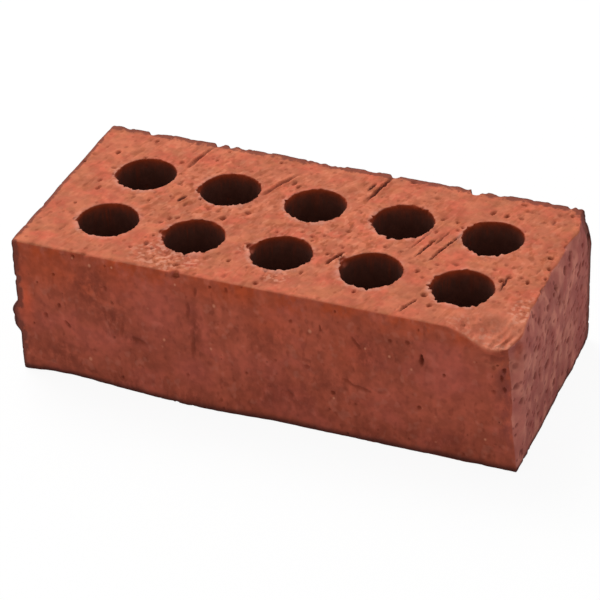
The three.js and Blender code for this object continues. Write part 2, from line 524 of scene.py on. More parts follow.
@dataclass
class Cores:
    """The round holes from bed face to bed face."""

    centres: np.ndarray  # X and Y of each, in millimetres
    height: float
    radius: float = 12.0
    seed: int = 500
    lane: float = 200.0  # millimetres between two unrolled walls, so that no two are alike
    scratch: float = 0.1
    rim_reach: tuple[float, float] = (1.4, 1.3)  # how far a torn rim reaches out, and down

    def polar(self, places: np.ndarray) -> tuple[np.ndarray, np.ndarray, np.ndarray]:
        """Where each place is round its nearest core.

        Args:
            places: X, Y and Z in millimetres.

        Returns:
            The way out from the core's axis, the distance from it, and the nearest core's number.
        """
        offsets = places[:, None, :2] - self.centres[None]
        nearest = (offsets**2).sum(axis=2).argmin(axis=1)
        offset = offsets[np.arange(len(places)), nearest]
        distance = np.maximum(np.hypot(offset[:, 0], offset[:, 1]), 1e-6)
        return offset / distance[:, None], distance, nearest

    def inside(self, distance: np.ndarray, normals: np.ndarray) -> np.ndarray:
        """How far each place belongs to a core's wall, from 0 to 1."""
        upright = 1 - np.clip(np.abs(normals[:, 2]), 0, 1) ** 2
        return upright * (distance < self.radius + 2.5)

    def unrolled(self, places: np.ndarray) -> np.ndarray:
        """Rolls the walls out flat, each in a lane of its own.

        Args:
            places: X, Y and Z in millimetres.

        Returns:
            Coordinates round and up the nearest core's wall, in millimetres.
        """
        way, _, nearest = self.polar(places)
        flat = np.stack([np.arctan2(way[:, 1], way[:, 0]) * self.radius, places[:, 2]], axis=1)
        flat[:, 0] += self.lane * nearest
        return flat

    def scratches(self, places: np.ndarray, wall: np.ndarray) -> np.ndarray:
        """Height of the upright scratches on the cores' walls, in millimetres."""
        return wall * self.scratch * rolling(self.unrolled(places), (1.8, 14.0), self.seed + 1, 2)

    def mouths(self, places: np.ndarray) -> Mouths:
        """Tears the rims, worst where the wire left each core.

        Args:
            places: X, Y and Z in millimetres.

        Returns:
            What the tearing does at each place.
        """
        way, distance, _ = self.polar(places)
        flat = self.unrolled(places)
        to_bed = np.minimum(self.height - places[:, 2], places[:, 2])
        out, down = self.rim_reach
        near_rim = np.exp(-(((distance - self.radius) / out) ** 2) - (to_bed / down) ** 2)
        leaving = 0.35 + 0.65 * np.clip(0.15 - 0.85 * way[:, 1] - 0.5 * way[:, 0], 0, 1)
        entering = np.clip(0.7 * way[:, 0] - 0.7 * way[:, 1], 0, 1)
        coarse = rolling(flat, (3.4, 40.0), self.seed + 11)
        ragged = coarse + 0.7 * rolling(flat, (1.2, 40.0), self.seed + 13, 2) - 0.2
        nicks = np.clip(rolling(flat, (2.1, 40.0), self.seed + 17, 2) - 0.25, 0, 1)
        outwards = leaving * (2.2 * nicks - 0.5 * ragged) - 0.15 - 0.45 * entering
        move = way * (near_rim * outwards)[:, None]
        burr = near_rim * leaving * np.clip(ragged, 0, 1)
        return Mouths(move, burr, leaving, to_bed)


@dataclass
class Brick:
    """One fired brick: a blank is bored, worn, roughened and dressed."""

    low: Vector
    high: Vector
    centres: np.ndarray
    name: str = "fired_brick"
    arris: float = 0.8
    grain: float = 0.55  # facet size before thinning
    fray_reach: float = 2.6
    fray_depth: float = 1.0
    burr_height: float = 0.4
    rubble_band: Band = (54.0, 59.0)  # up, where the top is broken
    deep_from: float = 6.0  # below a mouth, where a core's wall is plain
    under_margin: tuple[float, float] = (3.5, 3.0)  # in from the foot, where the underside is plain
    singed_and_shaded: tuple[tuple[float, ...], ...] = ()  # each arris by its sides, and how far it is dark, by the kiln and by painted shade
    tints: dict[Trace, tuple[Face, tuple[Patch, ...]]] = field(default_factory=dict)
    most_triangles: int = 190_000
    presses: tuple[Press, ...] = ()
    knocked: tuple[Patch, ...] = ()  # where the top was broken to rubble
    surfaces: dict[Face, Surface] = field(default_factory=dict)

    @property
    def cores(self) -> Cores:
        """The brick's cores."""
        return Cores(self.centres, (self.high.z - self.low.z) / MM)

    def build(self) -> bpy.types.Object:
        """Makes the brick's mesh.

        Returns:
            The finished object, at the origin.
        """
        brick = self.blank()
        self.bore(brick)
        self.regrain(brick)
        self.sculpt(brick)
        self.thin(brick)
        low, high = (np.array(corner) / MM for corner in (self.low, self.high))
        TextureSheet(low, high, self.cores).lay_out(brick.data)
        return brick

    def blank(self) -> bpy.types.Object:
        """Adds the uncored block and bevels its edges.

        Returns:
            The block.
        """
        deselect()
        middle = (self.low + self.high) / 2
        bpy.ops.mesh.primitive_cube_add(size=1, location=middle)
        brick = bpy.context.object
        brick.name = self.name
        brick.scale = self.high - self.low
        bpy.ops.object.transform_apply(location=True, rotation=True, scale=True)
        bpy.ops.object.mode_set(mode="EDIT")
        bpy.ops.mesh.select_all(action="SELECT")
        bpy.ops.mesh.bevel(offset=self.arris * MM, segments=2, affect="EDGES")
        bpy.ops.object.mode_set(mode="OBJECT")
        return brick

    def bore(self, brick: bpy.types.Object) -> None:
        """Cuts the cores through the block.

        Args:
            brick: The block.
        """
        cores = self.cores
        bars = []
        for x, y in cores.centres:
            deselect()
            bpy.ops.mesh.primitive_cylinder_add(
                vertices=96,
                radius=cores.radius * MM,
                depth=cores.height * MM * 1.2,
                location=(x * MM, y * MM, cores.height * MM / 2),
            )
            bars.append(bpy.context.object)
        deselect()
        for bar in bars:
            bar.select_set(True)
        bpy.context.view_layer.objects.active = bars[0]
        bpy.ops.object.join()
        cut = brick.modifiers.new("cores", "BOOLEAN")
        cut.object = bars[0]
        cut.operation = "DIFFERENCE"
        cut.solver = "EXACT"
        apply_modifier(brick, cut)
        bpy.data.objects.remove(bars[0])

    def regrain(self, brick: bpy.types.Object) -> None:
        """Gives the whole brick even, fine facets.

        Args:
            brick: The bored block.
        """
        grain = brick.modifiers.new("grain", "REMESH")
        grain.mode = "VOXEL"
        grain.voxel_size = self.grain * MM
        grain.use_smooth_shade = True
        apply_modifier(brick, grain)

    def sculpt(self, brick: bpy.types.Object) -> None:
        """Wears the brick's shape, raises the relief of every face and keeps its traces.

        Args:
            brick: The fine-grained brick.
        """
        mesh = brick.data
        places, _ = surface_of(mesh)
        worn = places + sum(press.move(places) for press in self.presses)
        set_places(mesh, worn)
        _, normals = surface_of(mesh)
        _, distance, _ = self.cores.polar(places)
        wall = self.cores.inside(distance, normals)
        outside = 1 - wall

        height, pits = self.face_relief(places, normals, outside)
        height += self.cores.scratches(places, wall)
        rubble = self.rubble(places)
        knocked = self.knocked_share(places, outside)
        height += rubble * knocked
        # the rubble's hollows also get painted shade
        pits = np.maximum(pits, -0.4 * rubble * knocked)
        mouths = self.cores.mouths(places)

        moved = worn + normals * height[:, None]
        moved[:, :2] += mouths.move
        moved[:, 2] += np.sign(normals[:, 2]) * mouths.burr * self.burr_height
        moved += self.fray(places) * outside[:, None]
        moved[:, 2] = np.maximum(moved[:, 2], 0)
        set_places(mesh, moved)

        rest = mesh.attributes.new("rest", "FLOAT_VECTOR", "POINT")
        rest.data.foreach_set("vector", places.astype(np.float32).ravel())
        self.keep_tints(mesh, places, normals, outside)
        # the hollows' depth, kept for the painted shade in them
        store(mesh, Trace.PIT, np.clip(pits / 1.2, 0, 1))
        # the relief's height, kept for painted shade and highlight
        store(mesh, Trace.HEIGHT, np.clip(0.5 + height / 1.2, 0, 1))
        store(mesh, Trace.BURR, np.clip(mouths.burr * 2.5, 0, 1))
        # the cores' walls and their parts near the mouths, kept for the painted shade and light inside
        store(mesh, Trace.CORE, wall)
        store(mesh, Trace.RIM, wall * np.exp(-((mouths.to_bed / 2.2) ** 2)))
        store(mesh, Trace.RIM_GAP, np.clip((distance - self.cores.radius) / RIM_REACH, 0, 1))
        store(mesh, Trace.LEAVING, mouths.leaving)

    def face_relief(
        self, places: np.ndarray, normals: np.ndarray, outside: np.ndarray
    ) -> tuple[np.ndarray, np.ndarray]:
        """The relief of all faces together.

        Args:
            places: The vertices' places in millimetres.
            normals: Their normals.
            outside: How far each lies on the outer faces, from 0 to 1.

        Returns:
            Height and depth of the hollows, in millimetres.
        """
        height = np.zeros(len(places))
        pits = np.zeros(len(places))
        for face, surface in self.surfaces.items():
            share = face.facing(normals) * outside
            bumps, hollows = surface.relief(face.spread(places))
            height += share * bumps
            pits += share * hollows
        return height, pits

    def rubble(self, places: np.ndarray) -> np.ndarray:
        """The relief of broken clay: ledges with lumps on them.

        Args:
            places: The vertices' places in millimetres.

        Returns:
            Height in millimetres.
        """
        ledges = 0.4 * np.round(2 * rolling(places, (9.0, 7.0, 7.0), 533, 2))
        coarse = 0.55 * rolling(places, (3.2, 3.8, 3.0), 531)
        lumps = coarse + 0.45 * rolling(places, (1.9, 2.1, 1.7), 535)
        return ledges + lumps

    def knocked_share(self, places: np.ndarray, outside: np.ndarray) -> np.ndarray:
        """How far each place lies in the broken corner.

        Args:
            places: The vertices' places in millimetres.
            outside: How far each lies on the outer faces, from 0 to 1.

        Returns:
            A share from 0 to 1.
        """
        share = np.clip(patched(Face.TOP.spread(places), self.knocked), 0, 1) * outside
        start, full = self.rubble_band
        share *= np.clip((places[:, 2] - start) / (full - start), 0, 1)
        return share

    def keep_tints(
        self, mesh: bpy.types.Mesh, places: np.ndarray, normals: np.ndarray, outside: np.ndarray
    ) -> None:
        """Keeps which kind of face each vertex lies on, and where the clay has another colour.

        Args:
            mesh: The brick's mesh.
            places: The vertices' places in millimetres.
            normals: Their normals.
            outside: How far each lies on the outer faces, from 0 to 1.
        """
        # kiln colour and painted shade along the arrises, less on the back face
        sheltered = 1 - 0.45 * Face.BACK.facing(normals)
        store(mesh, Trace.ARRIS, self.arris_share(places) * outside * sheltered)
        for trace, (face, patches) in self.tints.items():
            share = np.clip(patched(face.spread(places), patches), 0, 1)
            store(mesh, trace, share * face.facing(normals) * outside)
        beds = sum(face.facing(normals) * outside for face in self.surfaces if face.is_bed)
        ends = sum(face.facing(normals) * outside for face in self.surfaces if face.is_end)
        store(mesh, Trace.BED, beds)
        store(mesh, Trace.END, ends)

    def arris_share(self, places: np.ndarray) -> np.ndarray:
        """How near each place is to an arris that the kiln darkened, with painted shade where it rounds
        away.

        Args:
            places: The vertices' places in millimetres.

        Returns:
            1 on the arris, falling evenly to 0 at twice its dark line's reach.
        """
        half = np.array((self.high - self.low) / 2) / MM
        away = places - np.array((self.high + self.low) / 2) / MM
        nearness = np.zeros(len(places))
        for *sides, reach in self.singed_and_shaded:
            lies = np.array(sides) != 0
            gap = (half - away * sides)[:, lies]
            nearness = np.maximum(nearness, 1 - np.hypot(gap[:, 0], gap[:, 1]) / (2 * reach))
        return nearness

    def fray(self, places: np.ndarray) -> np.ndarray:
        """Uneven knocks along every edge, fewest round the foot and most at the top's back.

        Args:
            places: The vertices' places in millimetres.

        Returns:
            The push inwards at each place, in millimetres.
        """
        half = np.array((self.high - self.low) / 2) / MM
        away = places - np.array((self.high + self.low) / 2) / MM
        side = np.sign(away)
        gap = half - np.abs(away)
        push = np.zeros_like(places)
        for along, (first, second) in enumerate(((1, 2), (0, 2), (0, 1))):
            near = np.clip(1 - np.hypot(gap[:, first], gap[:, second]) / self.fray_reach, 0, 1)
            lane = 40 * side[:, first] + 90 * side[:, second]
            run = np.stack([places[:, along], lane], axis=1)
            often = np.clip(0.5 + rolling(run, (31.0, 17.0), 641 + along), 0, 1)
            knock = np.clip(rolling(run, (3.9, 17.0), 601 + along, 3), 0, 1) * often
            knock *= np.where(away[:, 2] < 0, 0.35, 1)
            knock *= np.where((away[:, 2] > 0) & (away[:, 1] > 0), 1.5, 1)
            for axis in (first, second):
                inward = knock * near**1.5 * self.fray_depth
                is_deeper = inward > np.abs(push[:, axis])
                push[:, axis] = np.where(is_deeper, -side[:, axis] * inward, push[:, axis])
        return push

    def thin(self, brick: bpy.types.Object) -> None:
        """Merges facets, first in the cores and under the brick, then where the surface is calm.

        Args:
            brick: The sculpted brick.
        """
        mesh = brick.data
        for name, ratio, belongs in (
            ("core walls", 0.2, self.is_deep),
            ("underside", 0.45, self.is_under),
        ):
            middles = np.empty(len(mesh.polygons) * 3)
            mesh.polygons.foreach_get("center", middles)
            merge_facets(brick, belongs(middles.reshape(-1, 3) / MM), ratio)
            log.info("%s: %d triangles with plainer %s", self.name, triangles_in(mesh), name)
        thinner = brick.modifiers.new("thinner", "DECIMATE")
        thinner.ratio = min(1.0, self.most_triangles / triangles_in(mesh))
        apply_modifier(brick, thinner)

    def is_deep(self, middles: np.ndarray) -> np.ndarray:
        """Finds the cores' walls, well away from both mouths.

        Args:
            middles: The faces' middles in millimetres.

        Returns:
            True for each face there.
        """
        _, distance, _ = self.cores.polar(middles)
        half = self.cores.height / 2
        is_inside = distance < self.cores.radius + 2
        return is_inside & (np.abs(middles[:, 2] - half) < half - self.deep_from)

    def is_under(self, middles: np.ndarray) -> np.ndarray:
        """Finds the bottom bed face, well inside its arrises.

        Args:
            middles: The faces' middles in millimetres.

        Returns:
            True for each face there.
        """
        inside = np.array(self.high - self.low)[:2] / 2 / MM - self.under_margin
        return (middles[:, 2] < 1.5) & (np.abs(middles[:, :2]) < inside).all(axis=1)


@dataclass
class TextureSheet:
    """A flat sheet with every face of the brick at one scale, and the unrolled cores at half of it."""

    low: np.ndarray  # the brick's corners, in millimetres
    high: np.ndarray
    cores: Cores
    side: float = 320.0
    gap: float = 3.0
    core_scale: float = 0.5

    def corners(self) -> dict[Face, np.ndarray]:
        """Sets out the outer faces on the sheet.

        Returns:
            Where each face's lower left corner lies, in millimetres.
        """
        length, width, height = self.high - self.low
        long_faces = {Face.TOP: width, Face.BOTTOM: width, Face.FRONT: height, Face.BACK: height}
        places = {}
        above = self.gap
        for face, tall in long_faces.items():
            places[face] = np.array([self.gap, above])
            above += tall + self.gap
        for row, face in enumerate((Face.RIGHT, Face.LEFT)):
            places[face] = np.array([length + 2 * self.gap, self.gap + row * (height + self.gap)])
        return places

    def core_corner(self, number: np.ndarray) -> np.ndarray:
        """Sets out the cores' unrolled walls on the sheet, in two columns.

        Args:
            number: The cores' numbers.

        Returns:
            Where each core's wall starts, in millimetres.
        """
        length, _, height = self.high - self.low
        column = number % 2
        row = number // 2
        wide = 2 * math.pi * self.cores.radius * self.core_scale + self.gap
        tall = height * self.core_scale + self.gap
        start = np.array([length + 2 * self.gap, 3 * self.gap + 2 * height])
        return start + np.stack([column * wide, row * tall], axis=-1)

    def lay_out(self, mesh: bpy.types.Mesh) -> None:
        """Gives the mesh its texture map, from where its surface lay before it was roughened.

        Args:
            mesh: The mesh, with the attribute "rest".
        """
        rest = np.empty(len(mesh.vertices) * 3)
        mesh.attributes["rest"].data.foreach_get("vector", rest)
        vertex_of = np.empty(len(mesh.loops), dtype=np.int32)
        mesh.loops.foreach_get("vertex_index", vertex_of)
        spots = rest.reshape(-1, 3)[vertex_of]
        counts = np.empty(len(mesh.polygons), dtype=np.int32)
        mesh.polygons.foreach_get("loop_total", counts)
        starts = np.cumsum(counts) - counts
        middles = np.add.reduceat(spots, starts) / counts[:, None]
        chart_of = np.repeat(self.charts(spots, starts, middles), counts)

        flat = np.zeros((len(spots), 2))
        corners = self.corners()
        for number, face in enumerate(Face):
            chosen = chart_of == number
            flat[chosen] = corners[face] + self.on_face(face, spots[chosen])
        chosen = chart_of == len(Face)
        polygon_of = np.repeat(np.arange(len(counts)), counts)[chosen]
        owner = self.cores.polar(middles)[2][polygon_of]
        unrolled = self.unrolled(spots[chosen], polygon_of, owner)
        flat[chosen] = self.core_corner(owner) + unrolled * self.core_scale
        layer = mesh.uv_layers.new(name=TEXTURE_MAP)
        layer.data.foreach_set("uv", (flat / self.side).ravel())

    def charts(self, spots: np.ndarray, starts: np.ndarray, middles: np.ndarray) -> np.ndarray:
        """Which chart each polygon lies in.

        Args:
            spots: Each corner's place, polygon by polygon.
            starts: The first corner of each polygon.
            middles: The polygons' middles.

        Returns:
            The outer face's number for each polygon, or the number after them for a core's wall.
        """
        first, second, third = (spots[starts + step] for step in range(3))
        normals = np.cross(second - first, third - first)
        normals /= np.maximum(np.linalg.norm(normals, axis=1, keepdims=True), 1e-9)
        _, distance, _ = self.cores.polar(middles)
        is_bored = (distance < self.cores.radius + 0.6) & (np.abs(normals[:, 2]) < 0.7)
        squarest = np.stack([face.squareness(normals) for face in Face], axis=1)
        return np.where(is_bored, len(Face), squarest.argmax(axis=1))

    def on_face(self, face: Face, spots: np.ndarray) -> np.ndarray:
        """Lays a face out flat, as it is seen from outside.

        Args:
            face: The face.
            spots: Places on it, X, Y and Z in millimetres.

        Returns:
            Coordinates from the face's lower left corner, in millimetres.
        """
        _, _, across, along = face.value
        side = spots[:, across] - self.low[across]
        if face.is_turned:
            side = self.high[across] - spots[:, across]
        return np.stack([side, spots[:, along] - self.low[along]], axis=1)

    def unrolled(self, spots: np.ndarray, polygon_of: np.ndarray, owner: np.ndarray) -> np.ndarray:
        """Rolls the cores' walls out flat, each polygon in one piece.

        Args:
            spots: Each corner's place.
            polygon_of: The polygon that each corner belongs to.
            owner: The core that each corner belongs to.

        Returns:
            Coordinates round and up the wall, in millimetres.
        """
        offset = spots[:, :2] - self.cores.centres[owner]
        turn = np.pi - np.arctan2(offset[:, 1], offset[:, 0])
        least = np.full(polygon_of.max() + 1, 9.0)
        np.minimum.at(least, polygon_of, turn)
        turn = np.where(turn - least[polygon_of] > np.pi, turn - 2 * np.pi, turn)
        return np.stack([turn * self.cores.radius, spots[:, 2] - self.low[2]], axis=1)


# Mesh helpers --------------------------------------------------------------------------------------


def deselect() -> None:
    """Clears the selection."""
    bpy.ops.object.select_all(action="DESELECT")


def apply_modifier(piece: bpy.types.Object, modifier: bpy.types.Modifier) -> None:
    """Applies one modifier to a piece.

    Args:
        piece: The object that has the modifier.
        modifier: The modifier.
    """
    deselect()
    piece.select_set(True)
    bpy.context.view_layer.objects.active = piece
    bpy.ops.object.modifier_apply(modifier=modifier.name)


def merge_facets(piece: bpy.types.Object, chosen: np.ndarray, ratio: float) -> None:
    """Merges the chosen faces of a piece into fewer.

    Args:
        piece: The object to work on.
        chosen: True for each face to merge.
        ratio: The share of them that is left.
    """
    mesh = piece.data
    mesh.vertices.foreach_set("select", np.zeros(len(mesh.vertices), dtype=bool))
    mesh.edges.foreach_set("select", np.zeros(len(mesh.edges), dtype=bool))
    mesh.polygons.foreach_set("select", chosen)
    deselect()
    piece.select_set(True)
    bpy.context.view_layer.objects.active = piece
    bpy.context.tool_settings.mesh_select_mode = (False, False, True)
    bpy.ops.object.mode_set(mode="EDIT")
    bpy.ops.mesh.decimate(ratio=ratio)
    bpy.ops.object.mode_set(mode="OBJECT")


def triangles_in(mesh: bpy.types.Mesh) -> int:
    """How many triangles the mesh's faces make."""
    return len(mesh.loops) - 2 * len(mesh.polygons)


def surface_of(mesh: bpy.types.Mesh) -> tuple[np.ndarray, np.ndarray]:
    """Reads a mesh.

    Args:
        mesh: The mesh to read.

    Returns:
        The vertices' places in millimetres and their normals.
    """
    places = np.empty(len(mesh.vertices) * 3)
    normals = np.empty(len(mesh.vertices) * 3)
    mesh.vertices.foreach_get("co", places)
    mesh.vertex_normals.foreach_get("vector", normals)
    return places.reshape(-1, 3) / MM, normals.reshape(-1, 3)


def set_places(mesh: bpy.types.Mesh, places: np.ndarray) -> None:
    """Moves a mesh's vertices to places given in millimetres."""
    mesh.vertices.foreach_set("co", (places * MM).ravel())
    mesh.update()


def store(mesh: bpy.types.Mesh, trace: Trace, values: np.ndarray) -> None:
    """Keeps one number for each vertex."""
    layer = mesh.attributes.new(trace.value, "FLOAT", "POINT")
    layer.data.foreach_set("value", values.astype(np.float32))


# Finish --------------------------------------------------------------------------------------------


class Sum(Enum):
    """The sums that a graph works on two numbers."""

    PLUS = "ADD"
    MINUS = "SUBTRACT"
    TIMES = "MULTIPLY"
    LARGER = "MAXIMUM"
    SMALLER = "MINIMUM"
    BELOW = "LESS_THAN"


class Graph:
    """Adds and links the nodes of one material or sky."""

    def __init__(self, owner: bpy.types.Material | bpy.types.World) -> None:
        """Empties the owner's node tree.

        Args:
            owner: The material or sky to fill.
        """
        owner.use_nodes = True
        self.tree = owner.node_tree
        self.tree.nodes.clear()

    def feed(self, socket: Socket, value: object) -> None:
        """Links a socket, or sets a plain value, into a node's input.

        Args:
            socket: The input.
            value: What it takes.
        """
        if isinstance(value, Socket):
            self.tree.links.new(value, socket)
        else:
            socket.default_value = value

    def add(
        self, kind: str, inputs: dict[str | int, object] | None = None, **settings: object
    ) -> bpy.types.Node:
        """Adds a node.

        Args:
            kind: The node's type name.
            inputs: Input names or numbers with the value or socket that each takes.
            settings: The node's own settings.

        Returns:
            The new node.
        """
        node = self.tree.nodes.new(kind)
        for name, value in settings.items():
            setattr(node, name, value)
        for name, value in (inputs or {}).items():
            self.feed(node.inputs[name], value)
        return node

    def stored(self, trace: Trace) -> Socket:
        """A number kept on the mesh."""
        return self.add("ShaderNodeAttribute", attribute_name=trace.value).outputs["Fac"]

    def blend(self, factor: Value, first: Dye, second: Dye, way: str = "MIX") -> Socket:
        """Blends two colours.

        Args:
            factor: How much of the second shows.
            first: The first colour.
            second: The second colour.
            way: How they are blended.

        Returns:
            The blended colour.
        """
        inputs = {0: factor, 6: first, 7: second}
        return self.add("ShaderNodeMix", inputs, data_type="RGBA", blend_type=way).outputs[2]

    def lay(self, under: Dye, over: Dye, where: Value, share: float) -> Socket:
        """Lays one colour over another.

        Args:
            under: The colour below.
            over: The colour above.
            where: 1 where it lies and 0 elsewhere.
            share: How much of it covers there.

        Returns:
            The colour that shows.
        """
        return self.blend(self.sum_of(Sum.TIMES, where, share), under, over)

    def sum_of(self, way: Sum, first: Value, second: Value) -> Socket:
        """Works one sum on two numbers."""
        return self.add("ShaderNodeMath", {0: first, 1: second}, operation=way.value).outputs[0]

    def times(self, first: Value, second: Value) -> Socket:
        """Multiplies two numbers."""
        return self.sum_of(Sum.TIMES, first, second)

    def larger(self, first: Value, second: Value) -> Socket:
        """The larger of two numbers."""
        return self.sum_of(Sum.LARGER, first, second)

    def without(self, share: Value) -> Socket:
        """What is left of 1 beside a share."""
        return self.sum_of(Sum.MINUS, 1.0, share)

    def ramp(self, value: Value, low: float, high: float) -> Socket:
        """Spreads the numbers from low to high over 0 to 1.

        Args:
            value: The number.
            low: What gives 0.
            high: What gives 1.

        Returns:
            A number from 0 to 1, eased at both ends.
        """
        inputs = {"Value": value, "From Min": low, "From Max": high}
        node = self.add("ShaderNodeMapRange", inputs, interpolation_type="SMOOTHSTEP")
        return node.outputs["Result"]

    def band(self, place: Socket, band: Band) -> Socket:
        """Spreads one coordinate over 0 to 1, from a band's start to its full end."""
        return self.ramp(place, band[0] * MM, band[1] * MM)

    def spread(self, value: Value, low: float, high: float) -> Socket:
        """Spreads the numbers from 0 to 1 over low to high."""
        return self.sum_of(Sum.PLUS, self.times(value, high - low), low)

    def shaded(self, colour: Socket, tone: Socket) -> Socket:
        """A colour made lighter or darker by a tone."""
        grey = self.add("ShaderNodeCombineColor", {"Red": tone, "Green": tone, "Blue": tone})
        return self.blend(1.0, colour, grey.outputs["Color"], "MULTIPLY")

    def turned(self, where: Socket, degrees: float) -> Socket:
        """Coordinates turned about the upright axis."""
        turn = (0, 0, math.radians(degrees))
        return self.add("ShaderNodeMapping", {"Vector": where, "Rotation": turn}).outputs["Vector"]

    def cells_of(self, where: Socket, size: float, stretch: Stretch) -> Socket:
        """Coordinates that count cells of a size in millimetres, so many times longer each way."""
        scale = [1 / (size * MM * times) for times in stretch]
        return self.add("ShaderNodeMapping", {"Vector": where, "Scale": scale}).outputs["Vector"]

    def noise(self, where: Socket, size: float, detail: float, stretch: Stretch = EVEN) -> Socket:
        """Cloudy noise.

        Args:
            where: The coordinates it lies in, in metres.
            size: The clouds' size in millimetres.
            detail: How many finer layers are added.
            stretch: How many times longer the clouds are along each axis.

        Returns:
            A number round 0.5.
        """
        cells = self.cells_of(where, size, stretch)
        inputs = {"Vector": cells, "Scale": 1.0, "Detail": detail, "Roughness": 0.6}
        return self.add("ShaderNodeTexNoise", inputs).outputs["Fac"]


@dataclass(frozen=True)
class Clouds:
    """Soft random patches."""

    size: float  # millimetres across
    low: float  # the noise at which they start to show
    high: float  # the noise at which they show fully
    detail: float = 2.0
    stretch: Stretch = EVEN

    def shares(self, graph: Graph, where: Socket) -> Socket:
        """How much each place belongs to a patch, from 0 to 1."""
        noise = graph.noise(where, self.size, self.detail, self.stretch)
        return graph.ramp(noise, self.low, self.high)


@dataclass(frozen=True)
class Wash:
    """A colour that lies over another one in clouds."""

    colour: Colour
    share: float  # how much of it covers in the middle of a cloud
    clouds: Clouds

    def over(self, graph: Graph, where: Socket, under: Dye) -> Socket:
        """The colour below with this one washed over it."""
        return graph.lay(under, self.colour, self.clouds.shares(graph, where), self.share)


@dataclass(frozen=True)
class Pores:
    """Chance-set pores too small for the mesh."""

    size: float  # how far apart they may lie, in millimetres
    share: float  # of the places that hold one
    stretch: Stretch
    turn: float = 0.0  # degrees about the upright axis
    edge: float = 0.34  # of a cell, where a pore starts
    floor: float = 0.14  # where it is darkest

    def shares(self, graph: Graph, where: Socket) -> Socket:
        """Lays the pores in cells, and leaves most cells empty.

        Args:
            graph: The material's graph.
            where: The coordinates the pores lie in.

        Returns:
            How much each place belongs to a pore, from 0 to 1.
        """
        cells = graph.cells_of(graph.turned(where, self.turn), self.size, self.stretch)
        holes = graph.add("ShaderNodeTexVoronoi", {"Vector": cells, "Scale": 1.0})
        chances = graph.add("ShaderNodeSeparateColor", {"Color": holes.outputs["Color"]})
        chosen = graph.sum_of(Sum.BELOW, chances.outputs["Green"], self.share)
        return graph.times(chosen, graph.ramp(holes.outputs["Distance"], self.edge, self.floor))


LEFT_HALF: Band = (20.0, -20.0)  # along X


@dataclass(frozen=True)
class Lie:
    """Where a point of the brick lies, as the finish reads it."""

    where: Socket  # its place, in metres
    y: Socket
    z: Socket
    is_bed: Socket  # 1 on the bed faces
    is_end: Socket  # 1 on the headers
    to_left: Socket  # 1 over the left half of the length

    @classmethod
    def read(cls, graph: Graph) -> "Lie":
        """Adds the nodes that say where a point lies.

        Args:
            graph: The material's graph.

        Returns:
            What they say.
        """
        where = graph.add("ShaderNodeTexCoord").outputs["Object"]
        place = graph.add("ShaderNodeSeparateXYZ", {"Vector": where}).outputs
        is_end = graph.ramp(graph.stored(Trace.END), 0.1, 0.6)
        is_bed = graph.ramp(graph.stored(Trace.BED), 0.25, 0.6)
        to_left = graph.band(place["X"], LEFT_HALF)
        return cls(where, place["Y"], place["Z"], is_bed, is_end, to_left)


